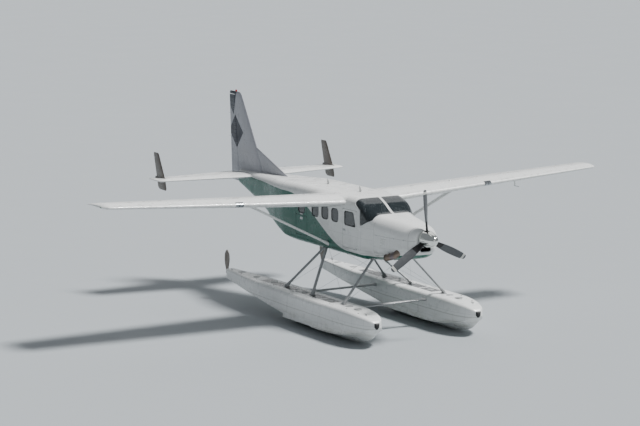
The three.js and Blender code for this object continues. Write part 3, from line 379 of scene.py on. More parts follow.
def filleted(points, radius, steps=6):
    """A closed outline with each corner made an arc. The radius is one number or one for each corner."""
    rounded = []
    count = len(points)
    radii = radius if isinstance(radius, (list, tuple)) else [radius] * count
    for i in range(count):
        corner = Vector(points[i])
        before = (Vector(points[i - 1]) - corner).normalized()
        after = (Vector(points[(i + 1) % count]) - corner).normalized()
        half_angle = before.angle(after) / 2
        middle = corner + (before + after).normalized() * radii[i] / sin(half_angle)
        start = corner + before * radii[i] / tan(half_angle) - middle
        end = corner + after * radii[i] / tan(half_angle) - middle
        for step in range(steps + 1):
            spoke = start.lerp(end, step / steps)
            rounded.append(tuple(middle + spoke.normalized() * radii[i]))
    return rounded

def box_outline(left, right, first, last, radius):
    """A rounded rectangle, its corners in turn from left and first."""
    return filleted([(left, first), (right, first), (right, last), (left, last)], radius)

def rectangle(fore, aft, low, high, top_radius, bottom_radius=None):
    """A rounded panel in the side view, station against height."""
    bottom_radius = top_radius if bottom_radius is None else bottom_radius
    return box_outline(fore, aft, high, low, [top_radius, top_radius, bottom_radius, bottom_radius])

def wider(panel, gap):
    fore, aft, low, high = panel
    return fore - gap, aft + gap, low - gap, high + gap

def side_plane(y):
    """Carries station and height of the side view to the plane at a distance y to port."""
    return Matrix(((-1, 0, 0, NOSE), (0, 0, 1, y), (0, 1, 0, HUB), (0, 0, 0, 1)))

def turning(outline):
    """Twice the area of an outline, positive where it runs anticlockwise."""
    return sum(a[0] * b[1] - b[0] * a[1] for a, b in zip(outline, outline[1:] + outline[:1]))

def slab(name, panels, plane, thickness, finish, bevel=0.0, segments=2):
    """Flat sheets, each an outline with its holes, as thick as given from the plane on."""
    bm = bmesh.new()
    for outlines in panels:
        loops = [outline if (turning(outline) > 0) == (place == 0) else outline[::-1]
                 for place, outline in enumerate(outlines)]
        flat_loops = [[Vector((*point, 0)) for point in loop] for loop in loops]
        flat = [point for loop in flat_loops for point in loop]
        low = [bm.verts.new(point) for point in flat]
        high = [bm.verts.new(point + Vector((0, 0, thickness))) for point in flat]
        for corners in tessellate_polygon(flat_loops):
            if turning([flat[i] for i in corners]) < 0:
                corners = corners[::-1]
            bm.faces.new([high[i] for i in corners])
            bm.faces.new([low[i] for i in corners[::-1]])
        first = 0
        for loop in loops:
            count = len(loop)
            for i in range(count):
                here, there = first + i, first + (i + 1) % count
                bm.faces.new((low[here], low[there], high[there], high[here]))
            first += count
    if bevel:
        bm.normal_update()
        rims = [edge for edge in bm.edges if edge.calc_face_angle(0) > 1.2
                and abs(edge.verts[0].co.z - edge.verts[1].co.z) < 1e-6]
        bmesh.ops.bevel(bm, geom=rims, offset=bevel, segments=segments, profile=0.5, affect="EDGES",
                        clamp_overlap=True)
    bm.transform(plane)
    if plane.determinant() < 0:
        bmesh.ops.reverse_faces(bm, faces=bm.faces)
    return piece(name, bm, finish, 20, outward=True)

def joined(name, parts):
    """Makes one object of several."""
    bm = bmesh.new()
    materials = []
    for part in parts:
        start = len(bm.faces)
        bm.from_mesh(part.data)
        bm.faces.ensure_lookup_table()
        for face in bm.faces[start:]:
            material = part.data.materials[face.material_index]
            if material not in materials:
                materials.append(material)
            face.material_index = materials.index(material)
    mesh = mesh_of(name, bm, materials)
    for part in parts:
        bpy.data.objects.remove(part)
    return placed(name, mesh)

WHITE = (0.79, 0.8, 0.785)
TEAL = (0.01, 0.118, 0.083)
SEAM = (0.055, 0.065, 0.065)
DIRT = (0.42, 0.41, 0.37)

def station_on(finish):
    return finish.x * -1.0 + NOSE

def height_on(finish):
    return finish.z - HUB

def seamed(finish, along, across, pitches, first, where):
    """Sheets lapped on frames and stringers: fine seams, with a row of rivets beside each."""
    frame_off = along.off_line(pitches[0], first[0])
    lap_off = across.off_line(pitches[1], first[1])
    seams = frame_off.fade(0.001, 0.0034).most(lap_off.fade(0.001, 0.0034)) * where

    def rivets(off, beside):
        aside = (off - 0.013).size()
        spacing = beside.off_line(0.03)
        return (aside * aside + spacing * spacing).apply("SQRT").fade(0.0018, 0.0036)

    heads = rivets(frame_off, across).most(rivets(lap_off, along)) * where
    finish.paint(SEAM, seams * 0.42)
    return finish.bump(heads - seams, 0.001, 0.8)

def weathered(finish, dirt=DIRT, amount=0.16):
    """Thin dirt in clouds, a gloss that varies, and the slow waves of thin sheet metal."""
    finish.paint(dirt, finish.noise(1.6, 6, (0.5, 1, 1.6)).step(0.48, 0.78) * amount)
    return finish.gloss(3.5, 5, 0.22, 0.42).grain(2.4, 1, 0.0022, 0.5)

body_paint = Finish("white_and_teal_enamel", WHITE, 0.3, coat=0.12, specular=0.32)
body_station = station_on(body_paint)
body_height = height_on(body_paint)
paint_edge = body_station.step(0.5, 2.1, -0.43, -0.66) + body_station.step(3.2, 6.5, 0.0, 1.25)
body_paint.paint(TEAL, (paint_edge - body_height).step(-0.004, 0.004))
seamed(body_paint, body_station, body_height, (0.517, 0.31), (2.03, -0.21),
       body_paint.facing[2].fade(0.55, 0.7))
seamed(body_paint, body_station, body_paint.y, (0.517, 0.3), (2.03, 0.15),
       body_paint.facing[1].fade(0.55, 0.7))
weathered(body_paint)
soot = body_station.step(1.45, 1.9) * body_station.fade(3.0, 5.4) * body_paint.y.fade(-0.55, -0.3)
soot = soot * body_height.fade(-0.62, -0.36) * body_paint.noise(5, 4, (0.35, 1, 2.5)).step(0.3, 0.75)
body_paint.paint((0.075, 0.066, 0.058), soot * 0.5)

cabin_lining = Finish("grey_cabin_lining", (0.3, 0.29, 0.275), 0.8)
cabin_lining.gloss(30, 3, 0.7, 0.9).grain(320, 2, 0.0008, 0.6)

CABIN_STATIONS = [*np.linspace(FIREWALL, 3.45, 24), *np.linspace(3.6, 5.9, 9),
                  *np.linspace(6.0, AFT_BULKHEAD, 14)]
inner_stations = [FIREWALL + 0.03, *CABIN_STATIONS[1:-1], AFT_BULKHEAD - 0.03]
cabin_shell = lofted("cabin_skin", [body_ring(station) for station in CABIN_STATIONS], body_paint)
cabin_hollow = lofted("cabin_hollow", [body_ring(station, WALL) for station in inner_stations], cabin_lining)

# Windows and doors: first and last station, then lowest and highest level
WINDOW_LEVELS = (0.06, 0.44)
WINDOW_CORNER = 0.11
CABIN_WINDOWS = [(3.72, 4.1), (4.26, 4.64), (4.8, 5.18)]
CREW_DOOR = (2.73, 3.49, -0.56, 0.5)
CREW_WINDOW = [(2.8, 0.05), (3.4, 0.05), (3.4, 0.45), (2.92, 0.45)]
CARGO_LOWER = (5.45, 6.7, -0.56, 0.0)
CARGO_UPPER = (5.45, 6.7, 0.01, 0.555)
CARGO_WINDOWS = [(5.6, 5.98), (6.17, 6.55)]
PASSENGER_LOWER = (5.45, 6.06, -0.56, 0.0)
PASSENGER_UPPER = (5.45, 6.06, 0.01, 0.555)
PASSENGER_WINDOWS = [(5.565, 5.945)]
DOOR_GAP = 0.01
DOORWAY_CORNER = 0.035
SKIN_SIDE = 0.8
CUT_BEYOND = 0.95
WINDSHIELD = [(2.12, 0.33), (2.6, 0.09), (2.6, 0.54), (2.885, 0.7), (2.885, 1.3), (2.12, 1.3)]
WINDSHIELD_POST = 0.028

def window_outlines(places):
    return [rectangle(*place, *WINDOW_LEVELS, WINDOW_CORNER) for place in places]

def wall_cutter(side, outlines, inner):
    plane = side_plane(inner if side > 0 else -CUT_BEYOND)
    return slab("wall_cutter", [[outline] for outline in outlines], plane, CUT_BEYOND - inner, body_paint)

crew_window = filleted(CREW_WINDOW, [0.045, 0.07, 0.07, 0.05])
windshield_outline = filleted(WINDSHIELD, [0.05, 0.07, 0.05, 0.05, 0.001, 0.001])
cutters = [cabin_hollow]
for side_name, side in SIDES:
    lower, upper = (CARGO_LOWER, CARGO_UPPER) if side > 0 else (PASSENGER_LOWER, PASSENGER_UPPER)
    rear_doorway = (*lower[:3], upper[3])
    holes = window_outlines(CABIN_WINDOWS)
    holes += [rectangle(*wider(doorway, DOOR_GAP), DOORWAY_CORNER) for doorway in (CREW_DOOR, rear_doorway)]
    cutters.append(wall_cutter(side, holes, 0.62))
    cutters.append(wall_cutter(side, [windshield_outline], WINDSHIELD_POST))
carved(cabin_shell, cutters)
on(cabin_shell, "white_paint", "cabin_shell")

# The windshield: two curved acrylic panes on a centre post, held by a riveted strip all round.
# The panes follow the body's skin and lie just under it.
glazing = Finish("tinted_acrylic", (0.018, 0.026, 0.03), 0.05, coat=1.0, alpha=0.62)
glazing.grain(3.0, 1, 0.003, 0.35)
strip_paint = Finish("windshield_strip", (0.7, 0.71, 0.7), 0.32, coat=0.3)
screws_along, screws_up = strip_paint.x.off_line(0.055), strip_paint.z.off_line(0.055)
screw_off = (screws_along * screws_along + screws_up * screws_up).apply("SQRT")
strip_paint.bump(screw_off.fade(0.003, 0.005), 0.0012)
strip_paint.clouded((0.35, 0.36, 0.36), 40, 4, 0.55, 0.7, 0.3)
PRISM_SIDE = 0.97

def skin_patch(name, fore, aft, inset, thickness, finish):
    """A length of the body's skin, from an inset inward, closed at both ends."""
    stations = np.linspace(fore, aft, 22)
    inside = (fore - 0.01, *stations[1:-1], aft + 0.01)
    patch = lofted(name, [body_ring(station, inset) for station in stations], finish)
    hollow = lofted("hollow", [body_ring(station, inset + thickness) for station in inside], finish)
    return carved(patch, [hollow])

def outline_prisms(outline, post, finish):
    """An outline run through both sides of the body, up to a post in the middle."""
    return joined("prisms", [slab("prism", [[outline]], side_plane(y), PRISM_SIDE - post, finish)
                             for y in (post, -PRISM_SIDE)])

def grown(outline, reach):
    """An outline moved outward by reach, or inward where it is negative."""
    out = reach if turning(outline) > 0 else -reach
    moved = []
    for i, point in enumerate(outline):
        corner = Vector(point)
        ahead = (Vector(outline[(i + 1) % len(outline)]) - corner).normalized()
        behind = (corner - Vector(outline[i - 1])).normalized()
        normal = Vector((ahead.y + behind.y, -ahead.x - behind.x)).normalized()
        moved.append(tuple(corner + normal * out / max(0.4, normal.dot(Vector((ahead.y, -ahead.x))))))
    return moved

panes_outline = filleted(grown(WINDSHIELD, 0.012), 0.03)
strip_outer = filleted(grown(WINDSHIELD, 0.034), 0.05)
strip_inner = filleted(grown(WINDSHIELD, -0.01), 0.05)
windshield = skin_patch("windshield_panes", 2.06, 2.96, 0.005, 0.006, glazing)
carved(windshield, [outline_prisms(panes_outline, WINDSHIELD_POST - 0.012, glazing)], "INTERSECT")
on(windshield, "window_glass", "windshield")
strip = skin_patch("windshield_strip", 2.05, 2.97, -0.002, 0.006, strip_paint)
whole_prism = slab("prism", [[strip_outer]], side_plane(-PRISM_SIDE), 2 * PRISM_SIDE, strip_paint)
carved(strip, [whole_prism], "INTERSECT")
carved(strip, [outline_prisms(strip_inner, WINDSHIELD_POST + 0.01, strip_paint)])
on(strip, "white_paint")

# The side windows: stretched acrylic panes behind rounded cut-outs in the wall and in the doors.
# Each lies in a black rubber seal that stands a little proud of the skin.
rubber = Finish("black_rubber", (0.018, 0.018, 0.019), 0.62)
rubber.gloss(60, 3, 0.5, 0.75)
PANE_FACE, PANE_THICKNESS = 0.789, 0.005
SEAL_FACE, SEAL_DEPTH, SEAL_WIDTH = 0.8015, 0.0115, 0.014

def panes(name, side, outlines, node, body="airframe"):
    """Panes with their seals, on the wall or on a door leaf."""
    pane_plane = side_plane(PANE_FACE - PANE_THICKNESS if side > 0 else -PANE_FACE)
    sheets = [[grown(outline, 0.004)] for outline in outlines]
    on(slab(name, sheets, pane_plane, PANE_THICKNESS, glazing, 0.001, 1), "window_glass", node, body=body)
    seal_plane = side_plane(SEAL_FACE - SEAL_DEPTH if side > 0 else -SEAL_FACE)
    rims = [[grown(outline, 0.002), grown(outline, -SEAL_WIDTH)] for outline in outlines]
    on(slab(name + "_seals", rims, seal_plane, SEAL_DEPTH, rubber, 0.002), "window_glass", body=body)

cargo_windows = window_outlines(CARGO_WINDOWS)
passenger_windows = window_outlines(PASSENGER_WINDOWS)
for side_name, side in SIDES:
    panes(f"cabin_panes_{side_name}", side, window_outlines(CABIN_WINDOWS), f"cabin_glass_{side_name}")
    crew_door = f"crew_door_{side_name}"
    panes(f"crew_door_pane_{side_name}", side, [crew_window], f"crew_door_glass_{side_name}", crew_door)
panes("cargo_door_panes", 1, cargo_windows, "cargo_door_glass", "cargo_door_upper")
panes("passenger_door_pane", -1, passenger_windows, "passenger_door_glass", "passenger_door_upper")

# The doors: pressed leaves as thick as the wall, flush with the skin, each on one or two short hinge pins.
# A crew door hinges at its front edge. The rear doors are split, and the cargo door's lower leaf swings.
# Each has a lined trim inside, a flush handle and a pull.
handle_metal = Finish("satin_door_hardware", (0.55, 0.56, 0.56), 0.3, metallic=0.9)
handle_metal.gloss(90, 3, 0.22, 0.42)
LEAF_CORNER, SPLIT_CORNER = 0.07, 0.012
PIN_INSET, PIN_DEPTH, PIN_RADIUS, PIN_REACH = 0.01, 0.008, 0.005, 0.024
TRIM_DEPTH = 0.008
INSIDE = SKIN_SIDE - WALL - TRIM_DEPTH
# Leaves: body and node, slot, side, panel, top corner, bottom corner, hinge edge, pins, windows
LEAVES = [
    ("crew_door_left", "white_paint", 1, CREW_DOOR, LEAF_CORNER, LEAF_CORNER, "front", (0, 1), [crew_window]),
    ("crew_door_right", "white_paint", -1, CREW_DOOR, LEAF_CORNER, LEAF_CORNER, "front", (0, 1), [crew_window]),
    ("cargo_door_upper", "white_paint", 1, CARGO_UPPER, LEAF_CORNER, SPLIT_CORNER, "top", (0, 1),
     cargo_windows),
    ("cargo_door_lower", "teal_paint", 1, CARGO_LOWER, SPLIT_CORNER, LEAF_CORNER, "front", (0,), []),
    ("passenger_door_upper", "white_paint", -1, PASSENGER_UPPER, LEAF_CORNER, SPLIT_CORNER, "top", (0, 1),
     passenger_windows),
    ("passenger_door_lower", "teal_paint", -1, PASSENGER_LOWER, SPLIT_CORNER, LEAF_CORNER, "bottom",
     (0, 1), []),
]

def turns(count):
    """Angles all the way round."""
    return np.linspace(0, 2 * pi, count, endpoint=False)

def way_at(points, i):
    """The direction of a path at one of its points."""
    return (points[min(i + 1, len(points) - 1)] - points[max(i - 1, 0)]).normalized()

def between(before, here, there, after, t):
    """A point on the smooth curve through four others, from the second to the third."""
    return 0.5 * (2 * here + (there - before) * t + (2 * before - 5 * here + 4 * there - after) * t**2
                  + (3 * here - before - 3 * there + after) * t**3)

def tube(name, path, radius, finish, sides=12, smooth=0, wall=0.0):
    """A round tube through points, eased by adding points between them. With a wall it is hollow and open."""
    points = [Vector(point) for point in path]
    last = len(points) - 1
    if smooth:
        points = [between(points[max(i - 1, 0)], points[i], points[i + 1], points[min(i + 2, last)],
                          step / smooth)
                  for i in range(last) for step in range(smooth)] + [points[-1]]
    radii = radius if isinstance(radius, (list, tuple)) else [radius] * len(points)
    across = (points[1] - points[0]).normalized().orthogonal().normalized()
    rings = []
    for i, point in enumerate(points):
        ahead = way_at(points, i)
        across = (across - ahead * across.dot(ahead)).normalized()
        other = ahead.cross(across)
        rings.append([point + radii[i] * (across * cos(turn) + other * sin(turn)) for turn in turns(sides)])
    if wall:
        rings += [[points[i] + (corner - points[i]) * (1 - wall / radii[i]) for corner in ring]
                  for i, ring in enumerate(rings)][::-1]
    return lofted(name, rings, finish, 50, closed=bool(wall))

for name, slot, side, panel, top_corner, bottom_corner, edge, pins, windows in LEAVES:
    fore, aft, low, high = panel
    leaf_outline = rectangle(*panel, top_corner, bottom_corner)
    inner_face = SKIN_SIDE - WALL if side > 0 else -SKIN_SIDE
    leaf = slab("leaf", [[leaf_outline, *windows]], side_plane(inner_face), WALL, body_paint, 0.0025)
    trim_outline = rectangle(*wider(panel, -0.03), max(top_corner - 0.02, 0.02),
                             max(bottom_corner - 0.02, 0.02))
    trim_plane = side_plane(INSIDE if side > 0 else WALL - SKIN_SIDE)
    trim_outlines = [trim_outline, *(grown(window, 0.02) for window in windows)]
    parts = [leaf, slab("trim", [trim_outlines], trim_plane, TRIM_DEPTH, cabin_lining, 0.003)]
    y = side * (SKIN_SIDE - PIN_DEPTH)
    hinge_line = {
        "front": (at(fore + PIN_INSET, y, low), at(fore + PIN_INSET, y, high)),
        "top": (at(fore, y, high - PIN_INSET), at(aft, y, high - PIN_INSET)),
        "bottom": (at(fore, y, low + PIN_INSET), at(aft, y, low + PIN_INSET)),
    }[edge]
    outward = (hinge_line[1] - hinge_line[0]).normalized()
    for end in pins:
        way = outward if end else -outward
        pin_path = [hinge_line[end] - way * 0.1, hinge_line[end] + way * PIN_REACH]
        parts.append(tube("pin", pin_path, PIN_RADIUS, handle_metal, 10))
    on(joined(name + "_leaf", parts), slot, name, body=name)

    if name.startswith("crew"):
        grip, level = aft - 0.075, -0.085
    elif edge == "top":
        grip, level = (fore + aft) / 2, low + 0.028
    elif edge == "bottom":
        grip, level = (fore + aft) / 2, high - 0.085
    else:
        grip, level = aft - 0.12, high - 0.13
    half_tall = 0.02 if edge == "top" else 0.034
    dish_outline = rectangle(grip - 0.075, grip + 0.075, level - half_tall, level + half_tall, half_tall * 0.7)
    dish_plane = side_plane(SKIN_SIDE - 0.001 if side > 0 else -SKIN_SIDE - 0.0015)
    dish = slab("dish", [[dish_outline]], dish_plane, 0.0025, handle_metal, 0.001)
    lever = tube("lever", [at(grip + along, side * (SKIN_SIDE + out), level) for along, out in
                           ((-0.058, -0.001), (-0.05, 0.01), (0.04, 0.01), (0.056, 0.006))],
                 0.008, handle_metal, 10, smooth=4)
    pull_span = 0.1 if edge == "top" else 0.14
    pull_level = level + (0.03 if edge == "top" else -0.11)
    pull = tube("pull", [at(grip + along, side * (INSIDE + out), pull_level) for along, out in
                         ((-pull_span, 0.002), (0.02 - pull_span, -0.022), (0.02, -0.022), (0.04, 0.002))],
                0.007, rubber, 10, smooth=4)
    on(joined(name + "_handle", [dish, lever, pull]), slot, body=name)

# The wing: two halves of riveted sheet on spars and ribs, rising from the cabin's top by a small dihedral.
# Each has a cove along its rear for the flap and the aileron, and a rounded moulded tip.
DIHEDRAL = radians(3)
WING_HEIGHT = 0.6
INCIDENCE = radians(2.2)
CAMBER = 0.022
# Root and tip: place along the span, leading edge, trailing edge, thickness
WING_ROOT = (0.8, 3.35, 5.33, 0.165)
WING_TIP = (7.935 / cos(DIHEDRAL), 3.62, 4.84, 0.12)
WING_INNER_END = 0.5
FLAP_SPAN = (0.87, 4.88)
AILERON_SPAN = (4.96, 7.56)
HINGE_SHARE = 0.73
END_GAP = 0.01
COVE_GAP = 0.01
COVE_STEPS = 12
# Tip rings: distance in from the tip, leading edge back, trailing edge forward, share of the thickness
TIP_RINGS = [(0.17, 0.0, 0.0, 1.0), (0.11, 0.014, 0.005, 0.94), (0.06, 0.045, 0.015, 0.8),
             (0.025, 0.095, 0.045, 0.6), (0.0, 0.17, 0.09, 0.36)]

def section_at(root, tip, place, camber=0.0, incidence=0.0):
    """An aerofoil between root and tip: leading edge, trailing edge, thickness, camber, incidence."""
    share = (place - root[0]) / (tip[0] - root[0])
    return [*(start + (end - start) * share for start, end in zip(root[1:], tip[1:])), camber, incidence]

def shortened(section, leading_back, trailing_forward, thinned):
    """A section of a rounded tip: its edges moved in and its thickness made less."""
    leading, trailing, ratio, camber, incidence = section
    return [leading + leading_back, trailing - trailing_forward, ratio * thinned, camber, incidence]

def foil_half(share):
    """Half the thickness of an aerofoil of thickness one, at a share of its chord."""
    return 5 * (0.2969 * sqrt(share) - 0.126 * share - 0.3516 * share**2 + 0.2843 * share**3
                - 0.1015 * share**4)

def foil_point(section, share, face):
    """A point on the upper (1) or lower (-1) face of an aerofoil, as station and height."""
    leading, trailing, ratio, camber, incidence = section
    chord = trailing - leading
    height = camber * chord * 4 * share * (1 - share) + face * ratio * chord * foil_half(share)
    aft = chord * (share - 0.25)
    return (leading + chord * 0.25 + aft * cos(incidence) + height * sin(incidence),
            height * cos(incidence) - aft * sin(incidence))

def nose_outline(section, shares):
    """From the last share on the lower face round the nose to the last on the upper face."""
    return ([foil_point(section, share, -1) for share in shares[:0:-1]]
            + [foil_point(section, share, 1) for share in shares])

def fore_shares(last, count=16):
    return [last * (1 - cos(pi / 2 * step / count)) ** 1.15 for step in range(count + 1)]

def hinge_of(section, share):
    """The middle and the half thickness of an aerofoil at a share of its chord."""
    upper = Vector(foil_point(section, share, 1))
    lower = Vector(foil_point(section, share, -1))
    return (upper + lower) / 2, (upper - lower).length / 2

def arc_about(middle, radius, from_angle, to_angle, incidence):
    """Points round a hinge, from above to below through the front."""
    aft = Vector((cos(incidence), -sin(incidence)))
    up = Vector((sin(incidence), cos(incidence)))
    return [tuple(middle - aft * radius * cos(angle) + up * radius * sin(angle))
            for angle in np.linspace(from_angle, to_angle, COVE_STEPS + 1)]

def fixed_outline(section, share, cove):
    """The fixed part's outline: lower lip, nose, upper lip, then either the trailing edge or the cove."""
    middle, radius = hinge_of(section, share)
    reach = radius + COVE_GAP
    lip = asin(min(0.98, radius / reach))
    last = share - reach * cos(lip) / (section[1] - section[0])
    forward = nose_outline(section, fore_shares(last))
    if cove:
        return forward + arc_about(middle, reach, lip, -lip, section[4])[1:-1]
    rear_shares = list(np.linspace(last, 1, 7))
    upper = [foil_point(section, share, 1) for share in rear_shares[1:]]
    lower = [foil_point(section, share, -1) for share in rear_shares[-2:0:-1]]
    return forward + upper + lower

def moving_outline(section, share):
    """A control surface's outline: a round nose about its hinge, then straight faces."""
    middle, radius = hinge_of(section, share)
    nose = arc_about(middle, radius, pi / 2, -pi / 2, section[4])
    lower, upper = ([tuple(Vector(start).lerp(Vector(foil_point(section, 1, face)), part / 4))
                     for part in (1, 2, 3, 4)] for start, face in ((nose[-1], -1), (nose[0], 1)))
    return nose + lower + upper[::-1]

def wing_section(y):
    return section_at(WING_ROOT, WING_TIP, y, CAMBER, INCIDENCE)

def wing_point(side, y, station, height):
    return at(station, side * (y * cos(DIHEDRAL) - height * sin(DIHEDRAL)),
              WING_HEIGHT + height * cos(DIHEDRAL) + y * sin(DIHEDRAL))

def wing_ring(side, y, outline):
    return [wing_point(side, y, *point) for point in outline]

wing_paint = Finish("white_wing_enamel", WHITE, 0.3, coat=0.35)
span_of = wing_paint.y.size()
wing_sweep = (WING_TIP[1] - WING_ROOT[1]) / (WING_TIP[0] - WING_ROOT[0])
behind_edge = wing_paint.x * -1.0 + (NOSE - WING_ROOT[1]) - span_of * wing_sweep
seamed(wing_paint, span_of, behind_edge, (0.415, 0.36), (0.8, 0.3), wing_paint.facing[2].step(0.3, 0.5))
weathered(wing_paint)
worn_edge = behind_edge.fade(0.02, 0.16) * wing_paint.noise(9, 5).step(0.42, 0.8)
wing_paint.paint((0.19, 0.2, 0.185), worn_edge * 0.35)
control_paint = Finish("white_beaded_sheet", WHITE, 0.32, coat=0.3)
bead = control_paint.y.size().off_line(0.1, 0.05)
bead_face = control_paint.facing[2].step(0.4, 0.6)
control_paint.bump(bead.fade(0.006, 0.02) * bead_face, 0.0035, 0.8)
# A light grey along each bead and its flanks: painted shade that outlines the beads.
control_paint.paint((0.5, 0.5, 0.48), bead.step(0.012, 0.024, 0.3, 0) * bead_face)
weathered(control_paint)

for side_name, side in SIDES:
    rings = []
    edges = [*FLAP_SPAN, *AILERON_SPAN]
    tips = {WING_TIP[0] - inward: shortening for inward, *shortening in TIP_RINGS}
    for y in sorted({WING_INNER_END, *np.linspace(0.9, 7.5, 12), *tips, *edges}):
        section = wing_section(y)
        if y in tips:
            section = shortened(section, *tips[y])
        covered = any(inner <= y <= outer for inner, outer in (FLAP_SPAN, AILERON_SPAN))
        if y in edges:
            starts = y in (FLAP_SPAN[0], AILERON_SPAN[0])
            rings.append(wing_ring(side, y, fixed_outline(section, HINGE_SHARE, not starts)))
            covered = starts
        rings.append(wing_ring(side, y, fixed_outline(section, HINGE_SHARE, covered)))
    wing = lofted(f"wing_{side_name}_skin", rings, wing_paint, 35, merged=True)
    on(wing, "white_paint", f"wing_{side_name}")

    for kind, (inner, outer) in (("flap", FLAP_SPAN), ("aileron", AILERON_SPAN)):
        rings = [wing_ring(side, y, moving_outline(wing_section(y), HINGE_SHARE))
                 for y in np.linspace(inner + END_GAP, outer - END_GAP, 9)]
        ends = [wing_point(side, y, *hinge_of(wing_section(y), HINGE_SHARE)[0]) for y in (inner, outer)]
        way = (ends[1] - ends[0]).normalized()
        parts = [lofted("skin", rings, control_paint, 35)]
        parts += [tube("pin", [end - out * 0.05, end + out * 0.016], 0.008, handle_metal)
                  for end, out in zip(ends, (-way, way))]
        control = f"{kind}_{side_name}"
        on(joined(f"{control}_skin", parts), "white_paint", control, body=control)

# The root fairings: a formed sheet on each side, riveted on when wing and cabin are together.
# It fills the corner between the wing's upper face and the cabin's roof.
FAIRING_INNER, FAIRING_OUTER, FAIRING_BLEND = 0.56, 0.858, 0.13
FAIRING_SHEET = 0.01

def roof_height(station, y):
    """Height of the cabin's roof at a distance from the middle, and far below beyond its side."""
    _, top, _, half_width, corner, _ = eased(BODY_SECTIONS, station)
    beyond = y - (half_width - corner)
    if beyond >= corner:
        return -1
    return top - corner + sqrt(corner**2 - max(beyond, 0)**2)

for side_name, side in SIDES:
    rings = []
    for y in np.linspace(FAIRING_INNER, FAIRING_OUTER, 20):
        outward = min(1, (y - FAIRING_INNER) / 0.2)
        fade = outward * outward * (3 - 2 * outward)
        upper = []
        for share in np.linspace(0.012, 0.985, 40):
            foil = foil_point(wing_section(y), share, 1)
            on_wing = wing_point(side, y, *foil)
            roof = HUB + roof_height(foil[0], abs(on_wing.y))
            blend = fade * max(FAIRING_BLEND - abs(on_wing.z - roof), 0) ** 2 / (4 * FAIRING_BLEND)
            upper.append(Vector((on_wing.x, on_wing.y, max(on_wing.z, roof) + blend - 0.0025)))
        rings.append(upper + [point - Vector((0, 0, FAIRING_SHEET)) for point in upper[::-1]])
    on(lofted(f"root_fairing_{side_name}", rings, wing_paint, 35), "white_paint")

# The wing struts: extruded streamline tubes from the cabin's lower side to the middle of each wing.
# Each end widens into a moulded cuff over its bolted fitting.
def streamline_ring(middle, along, chord, thickness):
    """A teardrop ring across a strut, its longer way fore and aft, blunt end forward."""
    fore = (Vector((1, 0, 0)) - along * along.x).normalized()
    across = along.cross(fore)
    return [middle + fore * cos(turn) * chord / 2
            + across * sin(turn) * (1 + 0.28 * cos(turn)) * thickness / 2 for turn in turns(28)]

def fairlead(name, path, sizes, finish):
    """A streamline strut through points, each with its own chord and thickness."""
    return lofted(name, [streamline_ring(point, way_at(path, i), *sizes[i]) for i, point in enumerate(path)],
                  finish, 40)

def straight_strut(name, foot, head, rows, finish):
    """A straight strut, by rows of share of its length, chord and thickness."""
    return fairlead(name, [foot.lerp(head, row[0]) for row in rows], [row[1:] for row in rows], finish)

STRUT_FOOT = (4.34, 0.77, -0.61)
STRUT_HEAD = (4.18, 3.56)
WING_STRUT_ROWS = [
    (0.0, 0.25, 0.11), (0.035, 0.215, 0.088), (0.06, 0.185, 0.068), (0.075, 0.175, 0.062), (0.5, 0.175, 0.062),
    (0.9, 0.175, 0.062), (0.93, 0.185, 0.068), (0.96, 0.215, 0.085), (1.0, 0.25, 0.105),
]
for side_name, side in SIDES:
    foot = at(STRUT_FOOT[0], side * STRUT_FOOT[1], STRUT_FOOT[2])
    head = wing_point(side, STRUT_HEAD[1], STRUT_HEAD[0], -0.02)
    strut = straight_strut(f"wing_strut_{side_name}_tube", foot, head, WING_STRUT_ROWS, wing_paint)
    on(strut, "white_paint", f"wing_strut_{side_name}")

# The tailplane: a fixed stabilizer of riveted sheet, with a cove along its rear.
# The elevator's two halves turn behind it on one torque tube.
TAIL_HEIGHT = 0.6
TAIL_ROOT = (0.0, 9.48, 10.96, 0.095)
TAIL_OUTER = (3.04, 9.94, 10.75, 0.1)
TAIL_TIP_RINGS = [(3.04, 0.0, 0.0, 1.0), (3.085, 0.035, 0.01, 0.85), (3.112, 0.085, 0.025, 0.65),
                  (3.125, 0.15, 0.05, 0.5)]
ELEVATOR_HINGE = 10.4
ELEVATOR_SPAN = (0.21, 2.69)
TORQUE_TUBE_RADIUS = 0.022
MIDDLE_END = 10.34

def share_of(section, station):
    return (station - section[0]) / (section[1] - section[0])

def tail_section(y):
    return section_at(TAIL_ROOT, TAIL_OUTER, y)

def tail_ring(y, outline):
    return [at(station, y, TAIL_HEIGHT + height) for station, height in outline]

def blunt_outline(section, last):
    """An outline that ends square at a station, with as many points as the others."""
    forward = nose_outline(section, fore_shares(share_of(section, last)))
    upper, lower = Vector(forward[-1]), Vector(forward[0])
    return forward + [tuple(upper.lerp(lower, step / COVE_STEPS)) for step in range(1, COVE_STEPS)]

tail_paint = Finish("white_tail_enamel", WHITE, 0.3, coat=0.35)
seamed(tail_paint, tail_paint.y.size(), tail_paint.x, (0.31, 0.3), (0.25, 0.12),
       tail_paint.facing[2].step(0.3, 0.5))
weathered(tail_paint)

half_rings = [(y, blunt_outline(tail_section(y), MIDDLE_END)) for y in (0.0, ELEVATOR_SPAN[0])]
for y in np.linspace(*ELEVATOR_SPAN, 7):
    section = tail_section(y)
    half_rings.append((y, fixed_outline(section, share_of(section, ELEVATOR_HINGE), True)))
for y, *shortening in [(ELEVATOR_SPAN[1], 0, 0, 1), (2.9, 0, 0, 1), *TAIL_TIP_RINGS]:
    section = shortened(tail_section(min(y, TAIL_OUTER[0])), *shortening)
    half_rings.append((y, fixed_outline(section, share_of(section, ELEVATOR_HINGE), False)))
rings = ([tail_ring(-y, outline) for y, outline in half_rings[:0:-1]]
         + [tail_ring(y, outline) for y, outline in half_rings])
on(lofted("stabilizer_skin", rings, tail_paint, 35, merged=True), "white_paint", "stabilizer")

